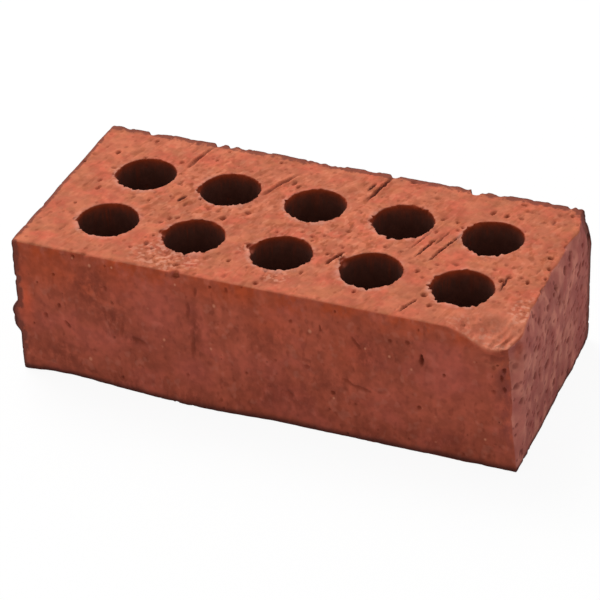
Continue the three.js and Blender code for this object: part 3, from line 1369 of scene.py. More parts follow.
@dataclass(frozen=True)
class FiredClay:
    """Terracotta, bright and torn on the beds, brown and close on the sides."""

    bed: Colour = screen_colour(194, 108, 78)
    dragged: Colour = screen_colour(164, 82, 50)
    # pale crumbs, partly painted highlight
    crumb: Colour = screen_colour(226, 156, 130)
    skin: Colour = screen_colour(190, 93, 69)
    skin_dark: Colour = screen_colour(162, 75, 53)
    skin_rosy: Colour = screen_colour(206, 100, 84)
    brow: Colour = screen_colour(190, 78, 40)
    smoke: Colour = screen_colour(140, 62, 44)
    rubbed: Colour = screen_colour(150, 72, 62)
    rubbed_end: Colour = screen_colour(164, 86, 70)
    end: Colour = screen_colour(216, 134, 116)
    end_dark: Colour = screen_colour(166, 82, 76)
    # painted shade in the headers' pits and pores
    score: Colour = screen_colour(112, 44, 42)
    # painted shade deep in the cores
    core: Colour = screen_colour(96, 54, 42)
    # painted light on the cores' walls near their mouths
    rim: Colour = screen_colour(164, 60, 22)
    # painted shade in the pits, pores and gaps between crumbs
    pit: Colour = screen_colour(122, 44, 18)
    # pale torn clay, partly a painted highlight on the raised lips round the cores
    burr: Colour = screen_colour(222, 158, 138)
    # paler broken clay, partly painted light lifting the sloping broken corner to the top's brightness
    broken: Colour = screen_colour(230, 138, 108)
    speck: Colour = screen_colour(220, 138, 106)
    # painted highlight where the front's rounded left corner catches the light
    corner_highlight: Colour = screen_colour(224, 96, 62)
    # painted shade on the arrises' darkest line and a painted contact shadow along the foot
    edge_and_foot_shadow: Colour = screen_colour(66, 32, 28)
    # kiln-darkened arrises, with painted shade where they round away from the light
    scorched_and_shaded: Colour = screen_colour(118, 60, 48)
    # painted shade inside the slits and grooves
    slit: Colour = screen_colour(78, 26, 14)

    bed_washes: tuple[Wash, ...] = (
        Wash(screen_colour(198, 98, 72), 1.0, Clouds(12.0, 0.4, 0.66, 3.0)),
        Wash(screen_colour(184, 106, 72), 0.7, Clouds(8.0, 0.45, 0.7, 3.0, (1.3, 1, 1))),
    )
    skin_washes: tuple[Wash, ...] = (
        Wash(skin_dark, 0.35, Clouds(4.5, 0.35, 0.65, 2.0, (1, 1, 6))),
        Wash(skin_dark, 0.45, Clouds(13.0, 0.4, 0.62, 3.0, (1, 1, 1.6))),
        Wash(smoke, 0.45, Clouds(2.4, 0.56, 0.72, 1.0, (1, 1, 1.6))),
        Wash(screen_colour(196, 110, 88), 0.5, Clouds(2.8, 0.56, 0.72, 1.0, (1.2, 1, 1.5))),
        Wash(skin_rosy, 0.35, Clouds(16.0, 0.48, 0.64, 2.0, (1.3, 1, 1))),
    )
    end_streaks: Clouds = Clouds(5.4, 0.38, 0.62, 0.5, (1, 1.1, 1.5))
    end_clouds: Clouds = Clouds(11.0, 0.42, 0.6)
    drag_lines: Clouds = Clouds(3.0, 0.52, 0.62, 2.0, (1, 5, 1))
    drag_places: Clouds = Clouds(14.0, 0.4, 0.6, 1.0)
    torn_flecks: Clouds = Clouds(2.6, 0.55, 0.63, 1.0, (1, 1.6, 1))
    pale_flecks: Clouds = Clouds(2.4, 0.54, 0.66, 1.0, (1, 2, 1))
    brow_breaks: Clouds = Clouds(3.0, 0.3, 0.6, 3.0, (1, 1, 1.6))
    brow_places: Clouds = Clouds(15.0, 0.42, 0.58, 1.0)
    tones: Clouds = Clouds(2.0, 0.3, 0.7, 1.0)
    mottling: Clouds = Clouds(4.2, 0.36, 0.64, 1.0)
    rubble_gaps: Clouds = Clouds(3.4, 0.35, 0.6)
    rim_gaps: Clouds = Clouds(2.4, 0.36, 0.6)
    arris_gaps: Clouds = Clouds(3.0, 0.36, 0.62)

    bed_pores: Pores = Pores(3.2, 0.2, (1, 1.3, 1), WIRE_SLANT)
    end_pores: Pores = Pores(3.2, 0.1, (1, 1.3, 1))
    dots: Pores = Pores(2.8, 0.08, (1, 1, 1.4))

    brow_band: Band = (48.0, 58.0)  # up a side, where it turns brown
    end_band: Band = (18.0, 34.0)  # across a header, where painted shade darkens it towards the back
    foot_shadow_band: Band = (4.0, 0.8)  # down to the foot, where the painted contact shadow lies
    rim_band: Band = (2.6, 0.5)  # in to a core, where the torn line is pale
    top_band: Band = (20.0, 30.0)  # up, where marks belong to the top
    front_band: Band = (-30.0, -40.0)  # across, where marks belong to the front

    grain_size: float = 2.3  # of the crumbs, in millimetres
    grit_size: float = 1.1
    grit_height: float = 0.3
    roughness: float = 0.92
    gloss: float = 0.25
    drawn: tuple[tuple[Face, tuple[Mark, ...], float], ...] = ()  # marks, and how dark their painted shade is
    plain_specks: tuple[tuple[float, ...], ...] = ()  # X, Y, Z and radius of each

    def make(self) -> bpy.types.Material:
        """Builds the material.

        Returns:
            The finished material.
        """
        material = bpy.data.materials.new("fired_clay")
        graph = Graph(material)
        lie = Lie.read(graph)

        colour = graph.blend(lie.is_end, self.skin_colour(graph, lie), self.end_colour(graph, lie))
        colour = graph.blend(lie.is_bed, colour, self.bed_colour(graph, lie))
        # the cores' walls: painted shade deep down, painted light near the mouths
        bore = graph.blend(graph.stored(Trace.RIM), self.core, self.rim)
        colour = graph.blend(graph.stored(Trace.CORE), colour, bore)
        colour = graph.shaded(colour, self.tone(graph, lie))
        colour = self.crumbled(graph, lie, colour)
        holes = self.holes(graph, lie)
        colour = self.hollowed(graph, lie, colour, holes)
        colour = self.slitted(graph, lie, colour)
        colour = self.flecked(graph, lie, colour)
        colour = self.singed_and_shaded(graph, lie, colour)

        grit = graph.noise(lie.where, self.grit_size, 2.0)
        bump = graph.add(
            "ShaderNodeBump",
            {
                "Strength": graph.spread(lie.is_end, 0.35, 0.12),
                "Distance": self.grit_height * MM,
                "Height": graph.sum_of(Sum.MINUS, grit, holes),
            },
        )
        shader = graph.add(
            "ShaderNodeBsdfPrincipled",
            {
                "Base Color": colour,
                "Roughness": self.roughness,
                "Specular IOR Level": self.gloss,
                "Normal": bump.outputs["Normal"],
            },
        )
        graph.add("ShaderNodeOutputMaterial", {"Surface": shader.outputs["BSDF"]})
        return material

    def bed_colour(self, graph: Graph, lie: Lie) -> Socket:
        """The bed faces' colour: red and olive patches, and darker lines where the wire dragged.

        Args:
            graph: The material's graph.
            lie: Where a point lies.

        Returns:
            The colour.
        """
        bed = self.bed
        for wash in self.bed_washes:
            bed = wash.over(graph, lie.where, bed)
        turned = graph.turned(lie.where, WIRE_SLANT)
        lines = self.drag_lines.shares(graph, turned)
        lines = graph.times(lines, self.drag_places.shares(graph, lie.where))
        bed = graph.lay(bed, self.dragged, lines, 0.45)
        torn = graph.stored(Trace.TORN)
        dark = self.torn_flecks.shares(graph, turned)
        bed = graph.blend(graph.times(dark, graph.spread(torn, 0.12, 0.78)), bed, self.dragged)
        pale = self.pale_flecks.shares(graph, turned)
        return graph.blend(graph.times(pale, graph.spread(torn, 0.12, 0.42)), bed, self.speck)

    def skin_colour(self, graph: Graph, lie: Lie) -> Socket:
        """The stretcher faces' colour: soft upright clouds, with stains, a brown brow and a painted
        highlight on the left corner.

        Args:
            graph: The material's graph.
            lie: Where a point lies.

        Returns:
            The colour.
        """
        skin = self.skin
        for wash in self.skin_washes:
            skin = wash.over(graph, lie.where, skin)
        uneven = self.brow_breaks.shares(graph, lie.where)
        brow = graph.times(graph.band(lie.z, self.brow_band), uneven)
        patchy = graph.spread(self.brow_places.shares(graph, lie.where), 0.4, 1.0)
        brow = graph.times(brow, patchy)
        for place, share, dye in (
            (graph.stored(Trace.ROSY), 0.6, self.skin_rosy),
            (graph.stored(Trace.BROWN), 0.6, self.brow),
            (brow, 0.85, self.brow),
            (graph.times(graph.stored(Trace.SMOKY), uneven), 0.85, self.smoke),
            (graph.times(graph.stored(Trace.RUBBED), uneven), 0.9, self.rubbed),
            # painted highlight on the front's rounded left corner
            (graph.stored(Trace.FLAMED), 0.8, self.corner_highlight),
        ):
            skin = graph.lay(skin, dye, place, share)
        return skin

    def end_colour(self, graph: Graph, lie: Lie) -> Socket:
        """The headers' colour: mauve, darker in streaks and over the left end, with painted shade
        towards the back.

        Args:
            graph: The material's graph.
            lie: Where a point lies.

        Returns:
            The colour.
        """
        end = self.end
        for place, share, dye in (
            (self.end_streaks.shares(graph, lie.where), 0.6, self.end_dark),
            (lie.to_left, 0.7, self.end_dark),
            # painted shade towards the back of the header
            (graph.band(lie.y, self.end_band), 0.6, self.end_dark),
            (self.end_clouds.shares(graph, lie.where), 0.5, self.end_dark),
            (graph.stored(Trace.RUBBED_END), 0.8, self.rubbed_end),
        ):
            end = graph.lay(end, dye, place, share)
        return end

    def tone(self, graph: Graph, lie: Lie) -> Socket:
        """How light each place is: mottled by chance, with painted shade in low places and a painted
        highlight on high ones.

        Args:
            graph: The material's graph.
            lie: Where a point lies.

        Returns:
            A number round 1.
        """
        tone = graph.spread(self.tones.shares(graph, lie.where), 0.97, 1.03)
        mottle = graph.spread(self.mottling.shares(graph, lie.where), -1.0, 1.0)
        mottle = graph.times(mottle, graph.spread(lie.is_end, 0.09, 0.04))
        tone = graph.times(tone, graph.sum_of(Sum.PLUS, mottle, 1.0))
        # painted shade in the relief's low places and painted highlight on its high ones
        shade = graph.spread(graph.ramp(graph.stored(Trace.HEIGHT), 0.1, 0.9), 0.88, 1.1)
        return graph.times(tone, shade)

    def crumbled(self, graph: Graph, lie: Lie, colour: Socket) -> Socket:
        """Lays pale crumbs, partly painted highlight, with painted shade in their gaps, where the clay
        crumbled, and makes the broken corner paler, partly with painted light.

        Args:
            graph: The material's graph.
            lie: Where a point lies.
            colour: The colour under them.

        Returns:
            The colour with the crumbs.
        """
        loose = graph.ramp(graph.stored(Trace.CRUMBLED), 0.15, 0.7)
        grains = graph.noise(lie.where, self.grain_size, 1.0)
        # the broken corner paler, partly painted light
        broken = graph.spread(self.rubble_gaps.shares(graph, lie.where), 0.75, 1.0)
        broken = graph.times(graph.stored(Trace.BROKEN), broken)
        colour = graph.blend(broken, colour, self.broken)
        pale = graph.times(loose, graph.ramp(grains, 0.52, 0.62))
        colour = graph.lay(colour, self.crumb, pale, 0.52)
        loose = graph.times(loose, graph.spread(graph.stored(Trace.BROKEN), 1.0, 0.25))
        # painted shade in the gaps between crumbs
        gaps = graph.times(loose, graph.ramp(grains, 0.44, 0.34))
        return graph.lay(colour, self.pit, gaps, 0.5)

    def holes(self, graph: Graph, lie: Lie) -> Socket:
        """The pores of all faces together.

        Args:
            graph: The material's graph.
            lie: Where a point lies.

        Returns:
            How deep a pore is, 0 where there is none.
        """
        pores = graph.times(lie.is_bed, self.bed_pores.shares(graph, lie.where))
        scores = graph.times(lie.is_end, self.end_pores.shares(graph, lie.where))
        scores = graph.times(scores, 1.3)
        return graph.larger(graph.larger(pores, scores), self.dots.shares(graph, lie.where))

    def hollowed(self, graph: Graph, lie: Lie, colour: Socket, holes: Socket) -> Socket:
        """Paints shade into the pits and pores, less so on the left header.

        Args:
            graph: The material's graph.
            lie: Where a point lies.
            colour: The colour round them.
            holes: The pores.

        Returns:
            The colour with the pits.
        """
        hollow = graph.larger(graph.stored(Trace.PIT), graph.times(holes, 0.45))
        fainter = graph.spread(graph.times(lie.to_left, lie.is_end), 1.0, 0.55)
        hollow = graph.times(hollow, fainter)
        dark = graph.blend(lie.is_end, self.pit, self.score)
        return graph.blend(graph.times(hollow, graph.spread(lie.is_bed, 0.9, 0.78)), colour, dark)

    def slitted(self, graph: Graph, lie: Lie, colour: Socket) -> Socket:
        """Paints shade inside the slits and grooves.

        Args:
            graph: The material's graph.
            lie: Where a point lies.
            colour: The colour round them.

        Returns:
            The colour with the slits.
        """
        is_side = graph.without(graph.larger(lie.is_bed, lie.is_end))
        belongs = {
            Face.TOP: graph.times(lie.is_bed, graph.band(lie.z, self.top_band)),
            Face.FRONT: graph.times(is_side, graph.band(lie.y, self.front_band)),
        }
        for face, marks, depth in self.drawn:
            slits = graph.times(self.drawn_marks(graph, lie.where, marks, face), belongs[face])
            colour = graph.lay(colour, self.slit, slits, depth)
        return colour

    def flecked(self, graph: Graph, lie: Lie, colour: Socket) -> Socket:
        """Adds the pale torn rims, partly painted highlight, and the lime specks.

        Args:
            graph: The material's graph.
            lie: Where a point lies.
            colour: The colour round them.

        Returns:
            The colour with the rims and specks.
        """
        # pale torn clay on the burrs and rims, partly painted highlight
        burr = graph.times(graph.stored(Trace.BURR), lie.is_bed)
        burr = graph.larger(burr, self.pale_rims(graph, lie))
        colour = graph.lay(colour, self.burr, burr, 0.48)
        bare = graph.without(graph.ramp(graph.stored(Trace.CORE), 0.0, 0.1))
        specks = graph.larger(self.specks(graph, lie.where), self.set_specks(graph, lie.where))
        specks = graph.times(specks, 0.75)
        return graph.blend(graph.times(specks, bare), colour, self.speck)

    def singed_and_shaded(self, graph: Graph, lie: Lie, colour: Socket) -> Socket:
        """Darkens the arrises, kiln-darkened and with painted shade where they round away, and paints a
        contact shadow along the foot.

        Args:
            graph: The material's graph.
            lie: Where a point lies.
            colour: The colour beside them.

        Returns:
            The colour with the dark lines.
        """
        # kiln colour and painted shade along the arrises
        ragged = graph.spread(self.arris_gaps.shares(graph, lie.where), 0.75, 1.25)
        scorched_and_shaded = graph.ramp(graph.times(graph.stored(Trace.ARRIS), ragged), 0.3, 0.6)
        colour = graph.lay(colour, self.scorched_and_shaded, scorched_and_shaded, 0.8)
        # painted contact shadow along the foot of the sides, and painted shade on the arrises' darkest
        # line
        foot = graph.times(graph.band(lie.z, self.foot_shadow_band), graph.without(lie.is_bed))
        edge_and_foot_shadow_share = graph.larger(graph.ramp(graph.stored(Trace.ARRIS), 0.72, 0.94), foot)
        return graph.lay(colour, self.edge_and_foot_shadow, edge_and_foot_shadow_share, 0.85)

    def pale_rims(self, graph: Graph, lie: Lie) -> Socket:
        """The broken pale line of torn clay round each core's mouth, partly a painted highlight on its
        edge.

        Args:
            graph: The material's graph.
            lie: Where a point lies.

        Returns:
            1 on the line and 0 elsewhere.
        """
        start, full = (reach / RIM_REACH for reach in self.rim_band)
        near = graph.ramp(graph.stored(Trace.RIM_GAP), start, full)
        line = graph.times(near, self.rim_gaps.shares(graph, lie.where))
        line = graph.times(line, lie.is_bed)
        leaving = graph.ramp(graph.stored(Trace.LEAVING), 0.35, 0.9)
        return graph.times(line, graph.spread(leaving, 0.2, 1.0))

    def drawn_marks(
        self, graph: Graph, where: Socket, marks: tuple[Mark, ...], face: Face
    ) -> Socket:
        """Where shade is painted inside a face's slits and grooves, sharper than the mesh can hold them.

        Args:
            graph: The material's graph.
            where: The coordinates the marks lie in.
            marks: The face's marks.
            face: The face they lie on.

        Returns:
            1 in a deep mark, less in a shallow one and 0 elsewhere.
        """
        wander = {"Vector": where, "Scale": 1 / (2.0 * MM), "Detail": 2.0}
        shift = graph.add("ShaderNodeTexNoise", wander).outputs["Color"]
        shift = graph.add("ShaderNodeVectorMath", {0: shift, 1: (MM, MM, MM)}, operation="MULTIPLY")
        wobbled = {0: where, 1: shift.outputs["Vector"]}
        wobbled = graph.add("ShaderNodeVectorMath", wobbled, operation="ADD").outputs["Vector"]
        shallow, deep = 9.0, 9.0
        for mark in (mark for mark in marks if mark.is_drawn):
            away = self.away_from(graph, wobbled, mark, face)
            if mark.depth < 1:
                shallow = graph.sum_of(Sum.SMALLER, shallow, away)
            else:
                deep = graph.sum_of(Sum.SMALLER, deep, away)
        faint = graph.times(graph.ramp(shallow, 1.2, 0.3), 0.55)
        return graph.larger(faint, graph.ramp(deep, 1.15, 0.6))

    def away_from(self, graph: Graph, where: Socket, mark: Mark, face: Face) -> Socket:
        """How far each place lies from the middle of a mark.

        Args:
            graph: The material's graph.
            where: The coordinates the mark lies in.
            mark: The mark.
            face: The face it lies on.

        Returns:
            The distance, 1 on the mark's outline.
        """
        _, _, across, along = face.value
        endless = 1e6
        middle, size, turn = [0.5 * MM] * 3, [endless] * 3, [0.0] * 3
        middle[across] += mark.across * MM
        middle[along] += mark.along * MM
        size[across] = 0.5 * mark.width * MM
        size[along] = 0.5 * mark.length * MM
        turn[3 - across - along] = math.radians(mark.turn) * (1 if along == 1 else -1)
        local = graph.add(
            "ShaderNodeMapping",
            {"Vector": where, "Location": middle, "Rotation": turn, "Scale": size},
            vector_type="TEXTURE",
        )
        away = {0: local.outputs["Vector"]}
        return graph.add("ShaderNodeVectorMath", away, operation="LENGTH").outputs["Value"]

    def set_specks(self, graph: Graph, where: Socket) -> Socket:
        """The lime specks and crumbs that are plain to see, each at its own place.

        Args:
            graph: The material's graph.
            where: The coordinates the specks lie in.

        Returns:
            1 on a speck and 0 elsewhere.
        """
        specks = 0.0
        flatter = (1.0, 1.0, 0.8)
        squashed = graph.add("ShaderNodeVectorMath", {0: where, 1: flatter}, operation="MULTIPLY")
        for *spot, radius in self.plain_specks:
            gap = {0: squashed.outputs["Vector"], 1: Vector(spot) * Vector(flatter) * MM}
            away = graph.add("ShaderNodeVectorMath", gap, operation="DISTANCE").outputs["Value"]
            near = graph.ramp(away, 1.3 * radius * MM, 0.4 * radius * MM)
            specks = graph.larger(specks, near)
        return specks

    def specks(self, graph: Graph, where: Socket) -> Socket:
        """Scattered lime specks, about a millimetre across.

        Args:
            graph: The material's graph.
            where: The coordinates the specks lie in.

        Returns:
            1 on a speck and 0 elsewhere.
        """
        cells = graph.add("ShaderNodeTexVoronoi", {"Vector": where, "Scale": 1 / (5.0 * MM)})
        chances = graph.add("ShaderNodeSeparateColor", {"Color": cells.outputs["Color"]})
        chosen = graph.ramp(chances.outputs["Red"], 0.8, 1.2)
        return graph.times(chosen, graph.ramp(cells.outputs["Distance"], 0.12, 0.06))


# Studio --------------------------------------------------------------------------------------------


@dataclass(frozen=True)
class Viewpoint:
    """The camera, placed round the brick's own origin."""

    azimuth: float = 23.12  # degrees round from the front, towards +X
    elevation: float = 34.13
    roll: float = -2.28
    distance: float = 1036.4
    aside: float = -2.79  # of the point aimed at, to the camera's right
    above: float = 21.0
    lens: float = 157.79
    sensor: float = 36.0
    sight: float = 20.0  # metres that it sees

    def make(self) -> bpy.types.Object:
        """Adds the camera and makes it the scene's own.

        Returns:
            The camera.
        """
        turn, tilt, roll = (math.radians(v) for v in (self.azimuth, self.elevation, self.roll))
        out = math.cos(tilt)
        back = Vector((math.sin(turn) * out, -math.cos(turn) * out, math.sin(tilt)))
        level = Vector((0, 0, 1)).cross(back).normalized()
        upright = back.cross(level)
        right = level * math.cos(roll) + upright * math.sin(roll)
        above = upright * math.cos(roll) - level * math.sin(roll)
        data = bpy.data.cameras.new("camera")
        data.lens = self.lens
        data.sensor_width = self.sensor
        data.sensor_fit = "HORIZONTAL"
        data.clip_end = self.sight
        camera = bpy.data.objects.new("camera", data)
        bpy.context.scene.collection.objects.link(camera)
        camera.rotation_euler = Matrix((right, above, back)).transposed().to_euler()
        camera.location = (right * self.aside + above * self.above + back * self.distance) * MM
        bpy.context.scene.camera = camera
        return camera


@dataclass(frozen=True)
class Studio:
    """A pale floor under a plain soft light, in metres."""

    floor_size: float = 30.0
    floor: Colour = (0.62, 0.62, 0.62, 1.0)
    glow: float = 1.05  # of the floor's white, to the camera alone
    glow_share: float = 0.88
    sky: float = 0.52
    lamp_place: tuple[float, float, float] = (-1.3, 0.9, 2.3)
    lamp_size: float = 1.5
    lamp_power: float = 54.0

    def make(self) -> None:
        """Adds the floor, the sky and the lamp."""
        deselect()
        bpy.ops.mesh.primitive_plane_add(size=self.floor_size)
        floor = bpy.context.object
        floor.name = "floor"
        floor.data.materials.append(self.floor_finish())
        self.light_sky()
        self.hang_lamp()

    def floor_finish(self) -> bpy.types.Material:
        """The floor's material, near white to the camera but keeping the shadow.

        Returns:
            The material.
        """
        material = bpy.data.materials.new("floor")
        graph = Graph(material)
        matt = graph.add("ShaderNodeBsdfDiffuse", {"Color": self.floor})
        white = graph.add("ShaderNodeEmission", {"Color": WHITE, "Strength": self.glow})
        path = graph.add("ShaderNodeLightPath").outputs["Is Camera Ray"]
        share = graph.times(path, self.glow_share)
        inputs = {0: share, 1: matt.outputs[0], 2: white.outputs[0]}
        mixed = graph.add("ShaderNodeMixShader", inputs)
        graph.add("ShaderNodeOutputMaterial", {"Surface": mixed.outputs[0]})
        return material

    def light_sky(self) -> None:
        """Makes the sky an even light, and white to the camera."""
        world = bpy.data.worlds.new("sky")
        bpy.context.scene.world = world
        graph = Graph(world)
        path = graph.add("ShaderNodeLightPath").outputs["Is Camera Ray"]
        light = graph.add("ShaderNodeBackground", {"Color": WHITE, "Strength": self.sky})
        seen = graph.add("ShaderNodeBackground", {"Color": WHITE, "Strength": 1.0})
        mixed = graph.add("ShaderNodeMixShader", {0: path, 1: light.outputs[0], 2: seen.outputs[0]})
        graph.add("ShaderNodeOutputWorld", {"Surface": mixed.outputs[0]})

    def hang_lamp(self) -> None:
        """Adds the soft lamp, aimed at the brick."""
        data = bpy.data.lights.new("softbox", "AREA")
        data.shape = "SQUARE"
        data.size = self.lamp_size
        data.energy = self.lamp_power
        lamp = bpy.data.objects.new("softbox", data)
        bpy.context.scene.collection.objects.link(lamp)
        lamp.location = self.lamp_place
        lamp.rotation_euler = (-lamp.location).to_track_quat("-Z", "Y").to_euler()


# The brick's own sizes and marks -------------------------------------------------------------------

# Each press: its middle, its reach and its push along X, Y and Z.
WEAR = (
    Press((101.5, 0, 60), (12, 69, 11), (-2.0, 0, -0.8)),
    Press((101.5, 44, 60), (9, 11, 16), (-2.4, -0.3, 0)),
    Press((93.5, -46, 60), (20.5, 14, 18), (0, 1.2, -8.3)),
    Press((101.5, -46, 54), (15, 9, 24), (-4.2, 2.2, 0)),
    Press((101.5, -46, 26), (9, 8, 26), (-2.2, 0.8, 0)),
    Press((-80, -46, 0), (24, 8, 8), (0, 1.6, 0)),
)

# Small unevenness of the right header's top edge, and the foot's slight bulge.
UNEVEN = (
    Press((101.5, 29.4, 60), (8, 4.5, 6), (0.9, 0, 0.3)),
    Press((101.5, 21, 60), (8, 4, 6), (-0.7, 0, -0.4)),
    Press((101.5, 3, 60), (8, 4, 6), (-0.7, 0, -0.4)),
    Press((101.5, -24, 60), (8, 4.5, 6), (-0.9, 0, -0.5)),
    Press((-26, -46, 2), (34, 10, 14), (0, -1.7, 0)),
)

# The nub on the front left upright edge.
LUMPS = (
    Press((-101.5, -43.5, 27), (6, 7, 6), (-2.8, -0.5, 0)),
    Press((-101.5, -43, 21), (6, 6, 4.5), (-3.2, 0.2, 0)),
)

# Knocks along the top arrises and round the cores' mouths.
CHIPS = (
    Press((-82.8, 46, 60), (2.2, 3.0, 4.0), (0, -1.6, -1.0)),
    Press((-53.6, 46, 60), (2.2, 3.5, 4.0), (0, -1.7, -1.0)),
    Press((-48.4, 46, 60), (1.8, 3.0, 3.0), (0, -1.2, -0.8)),
    Press((21.4, 46, 60), (2.2, 3.0, 4.0), (0, -1.5, -1.0)),
    Press((55.0, 46, 60), (2.8, 5.0, 6.0), (0, -3.4, -2.0)),
    Press((-32.7, -46, 60), (2.4, 2.6, 2.6), (0, 1.4, -0.6)),
    Press((-12.0, -20.0, 60), (3.0, 3.0, 3.5), (-1.8, 0.2, -1.2)),
    Press((24.6, -17.5, 60), (3.0, 3.0, 3.5), (-1.5, 0.5, -1.0)),
    Press((-47.9, -21.5, 60), (2.6, 2.6, 3.0), (-1.6, 0, -0.8)),
    Press((-83.6, -24.0, 60), (2.0, 2.0, 2.5), (-0.9, -0.3, -0.5)),
    Press((-83.4, 11.0, 60), (2.0, 2.4, 2.5), (-0.9, -0.3, -0.5)),
    Press((24.4, 11.8, 60), (2.2, 2.2, 2.5), (-1.0, 0, -0.6)),
)

# Each arris by the side it lies on, -1 or 1 on each axis and 0 for the axis it runs along, then how
# far in from it the clay is dark: kiln-darkened, with painted shade where the arris rounds away.
SINGED_AND_SHADED_ARRISES = (
    (0, 1, 1, 3.2),
    (-1, 0, 1, 1.8),
    (1, 1, 0, 5.0),
    (-1, -1, 0, 2.4),
)

# Each mark: its place across and along the face, its width, length and depth, then its turn and lip.
WIRE_MARKS = (
    Mark(-56.9, 33.3, 1.9, 19, 0.8, -12, 0.5),
    Mark(-18.7, 24.6, 1.9, 23, 0.8, -23, 0.5),
    Mark(19.0, 33.9, 1.7, 20, 1.2, -10, 0.5),
    Mark(15.6, 34.4, 1.3, 7, 1.0, -11, 0.3),
    Mark(56.9, 3.3, 1.1, 25, 1.2, -15, 0.4),
    Mark(49.9, 0.1, 1.0, 16, 1.0, -14, 0.3),
    Mark(46.4, 4.6, 0.9, 18, 0.7, -14, 0.2),
    Mark(53.6, 8.6, 0.9, 12, 0.7, -13, 0.2),
    Mark(20.2, -17.4, 1.8, 11, 3.2, -19, 0.4),
    Mark(56.6, -37.8, 1.2, 11, 1.3, -19, 0.3),
    Mark(85.1, -13.1, 1.2, 10, 1.3, 0, 0.3),
    Mark(-87.6, 4.7, 1.8, 3.0, 1.2, -14),
    Mark(-86.1, -1.1, 1.6, 2.2, 1.0),
    Mark(-51.3, -31.0, 2.2, 2.4, 1.4),
    Mark(-47.7, -33.4, 1.8, 2.0, 1.2),
    Mark(-49.9, -11.9, 1.6, 3.0, 1.0, -14),
    Mark(-30.6, -5.3, 2.4, 3.2, 1.4, -14, 0.4),
    Mark(-22.9, 1.2, 2.2, 2.6, 1.4),
    Mark(-14.0, 27.4, 1.6, 3.6, 1.3, -14),
    Mark(66.2, 31.7, 1.9, 3.2, 1.3, -14, 0.2),
    Mark(77.8, 31.2, 2.4, 1.6, 0.8),
    Mark(80.0, 36.6, 1.8, 1.8, 0.6),
    Mark(75.9, 40.7, 3.4, 1.8, 0.8),
    Mark(86.9, 31.2, 2.2, 1.6, 0.5),
    Mark(90.2, 32.3, 1.4, 4.4, 0.5),
    Mark(90.6, 38.3, 2.2, 1.8, 0.7),
    Mark(96.5, 39.4, 3.0, 2.2, 0.8),
    Mark(98.2, 9.4, 1.8, 2.6, 1.2),
    Mark(100.0, 3.0, 2.2, 2.0, 1.2),
    Mark(94.0, 6.8, 3.4, 1.2, 0.4),
    Mark(82.0, -1.4, 2.4, 1.8, 0.6),
    Mark(79.2, -5.4, 2.0, 1.8, 0.6),
    Mark(90.2, -7.5, 1.8, 1.8, 0.9),
    Mark(42.3, 34.9, 3.0, 2.2, 0.8),
    Mark(49.7, 20.8, 1.8, 2.4, 1.0, -14, 0.2),
    Mark(55.7, 20.6, 1.6, 2.0, 1.1, 0, 0.2),
    Mark(58.4, 18.1, 1.8, 1.8, 1.1, 0, 0.2),
    Mark(57.3, 15.7, 1.6, 1.8, 0.9),
    Mark(50.0, 11.8, 1.5, 3.0, 0.9, -14),
    Mark(50.9, 4.5, 1.6, 3.2, 1.1, -14),
    Mark(29.8, 42.8, 3.0, 1.8, 1.0),
    Mark(52.6, -15.3, 1.9, 1.9, 1.2, 0, 0.2),
    Mark(56.3, -13.1, 1.8, 1.4, 0.7),
    Mark(58.1, -9.3, 1.8, 1.4, 0.8),
    Mark(64.4, -7.0, 3.0, 1.4, 0.8),
    Mark(55.5, -19.0, 1.6, 1.6, 0.8),
    Mark(7.0, -6.1, 2.6, 1.6, 0.9),
    Mark(11.9, -30.5, 1.3, 2.4, 1.1),
    Mark(18.1, 1.7, 2.4, 1.6, 0.8),
    Mark(-56.3, 12.5, 1.8, 4.4, 0.8, -16),
    Mark(-51.3, 2.7, 1.8, 6.0, 1.0, -18, 0.2),
    Mark(-52.2, -15.4, 1.8, 2.0, 1.1),
    Mark(-38.4, -1.1, 2.6, 2.2, 0.7),
    Mark(-70.9, -0.6, 2.0, 2.0, 0.4),
    Mark(-60.7, -13.0, 1.5, 1.5, 0.7),
    Mark(-98.0, 22.1, 2.6, 2.0, 0.5),
    Mark(-86.7, 15.2, 2.8, 1.8, 0.8),
    Mark(-8.6, -33.5, 1.4, 1.8, 0.9),
    Mark(-33.4, -34.0, 2.4, 1.4, 1.2),
    Mark(-25.7, -33.0, 2.8, 1.6, 0.7),
    Mark(-34.4, -41.0, 2.6, 1.8, 0.9),
    Mark(-41.6, -33.5, 2.4, 1.8, 0.9),
    Mark(59.9, -29.8, 2.6, 2.8, 1.6),
    Mark(63.8, -35.3, 2.2, 2.6, 1.4),
    Mark(86.0, -8.9, 1.8, 2.4, 1.2),
    Mark(93.8, -9.1, 2.2, 2.6, 1.5),
    Mark(97.0, 9.4, 2.2, 2.4, 1.4),
    Mark(83.9, -37.1, 1.3, 1.2, 0.8),
    Mark(79.6, -41.3, 1.3, 2.0, 0.8, -14),
    Mark(-1.7, -42.3, 2.4, 2.4, 1.3),
)

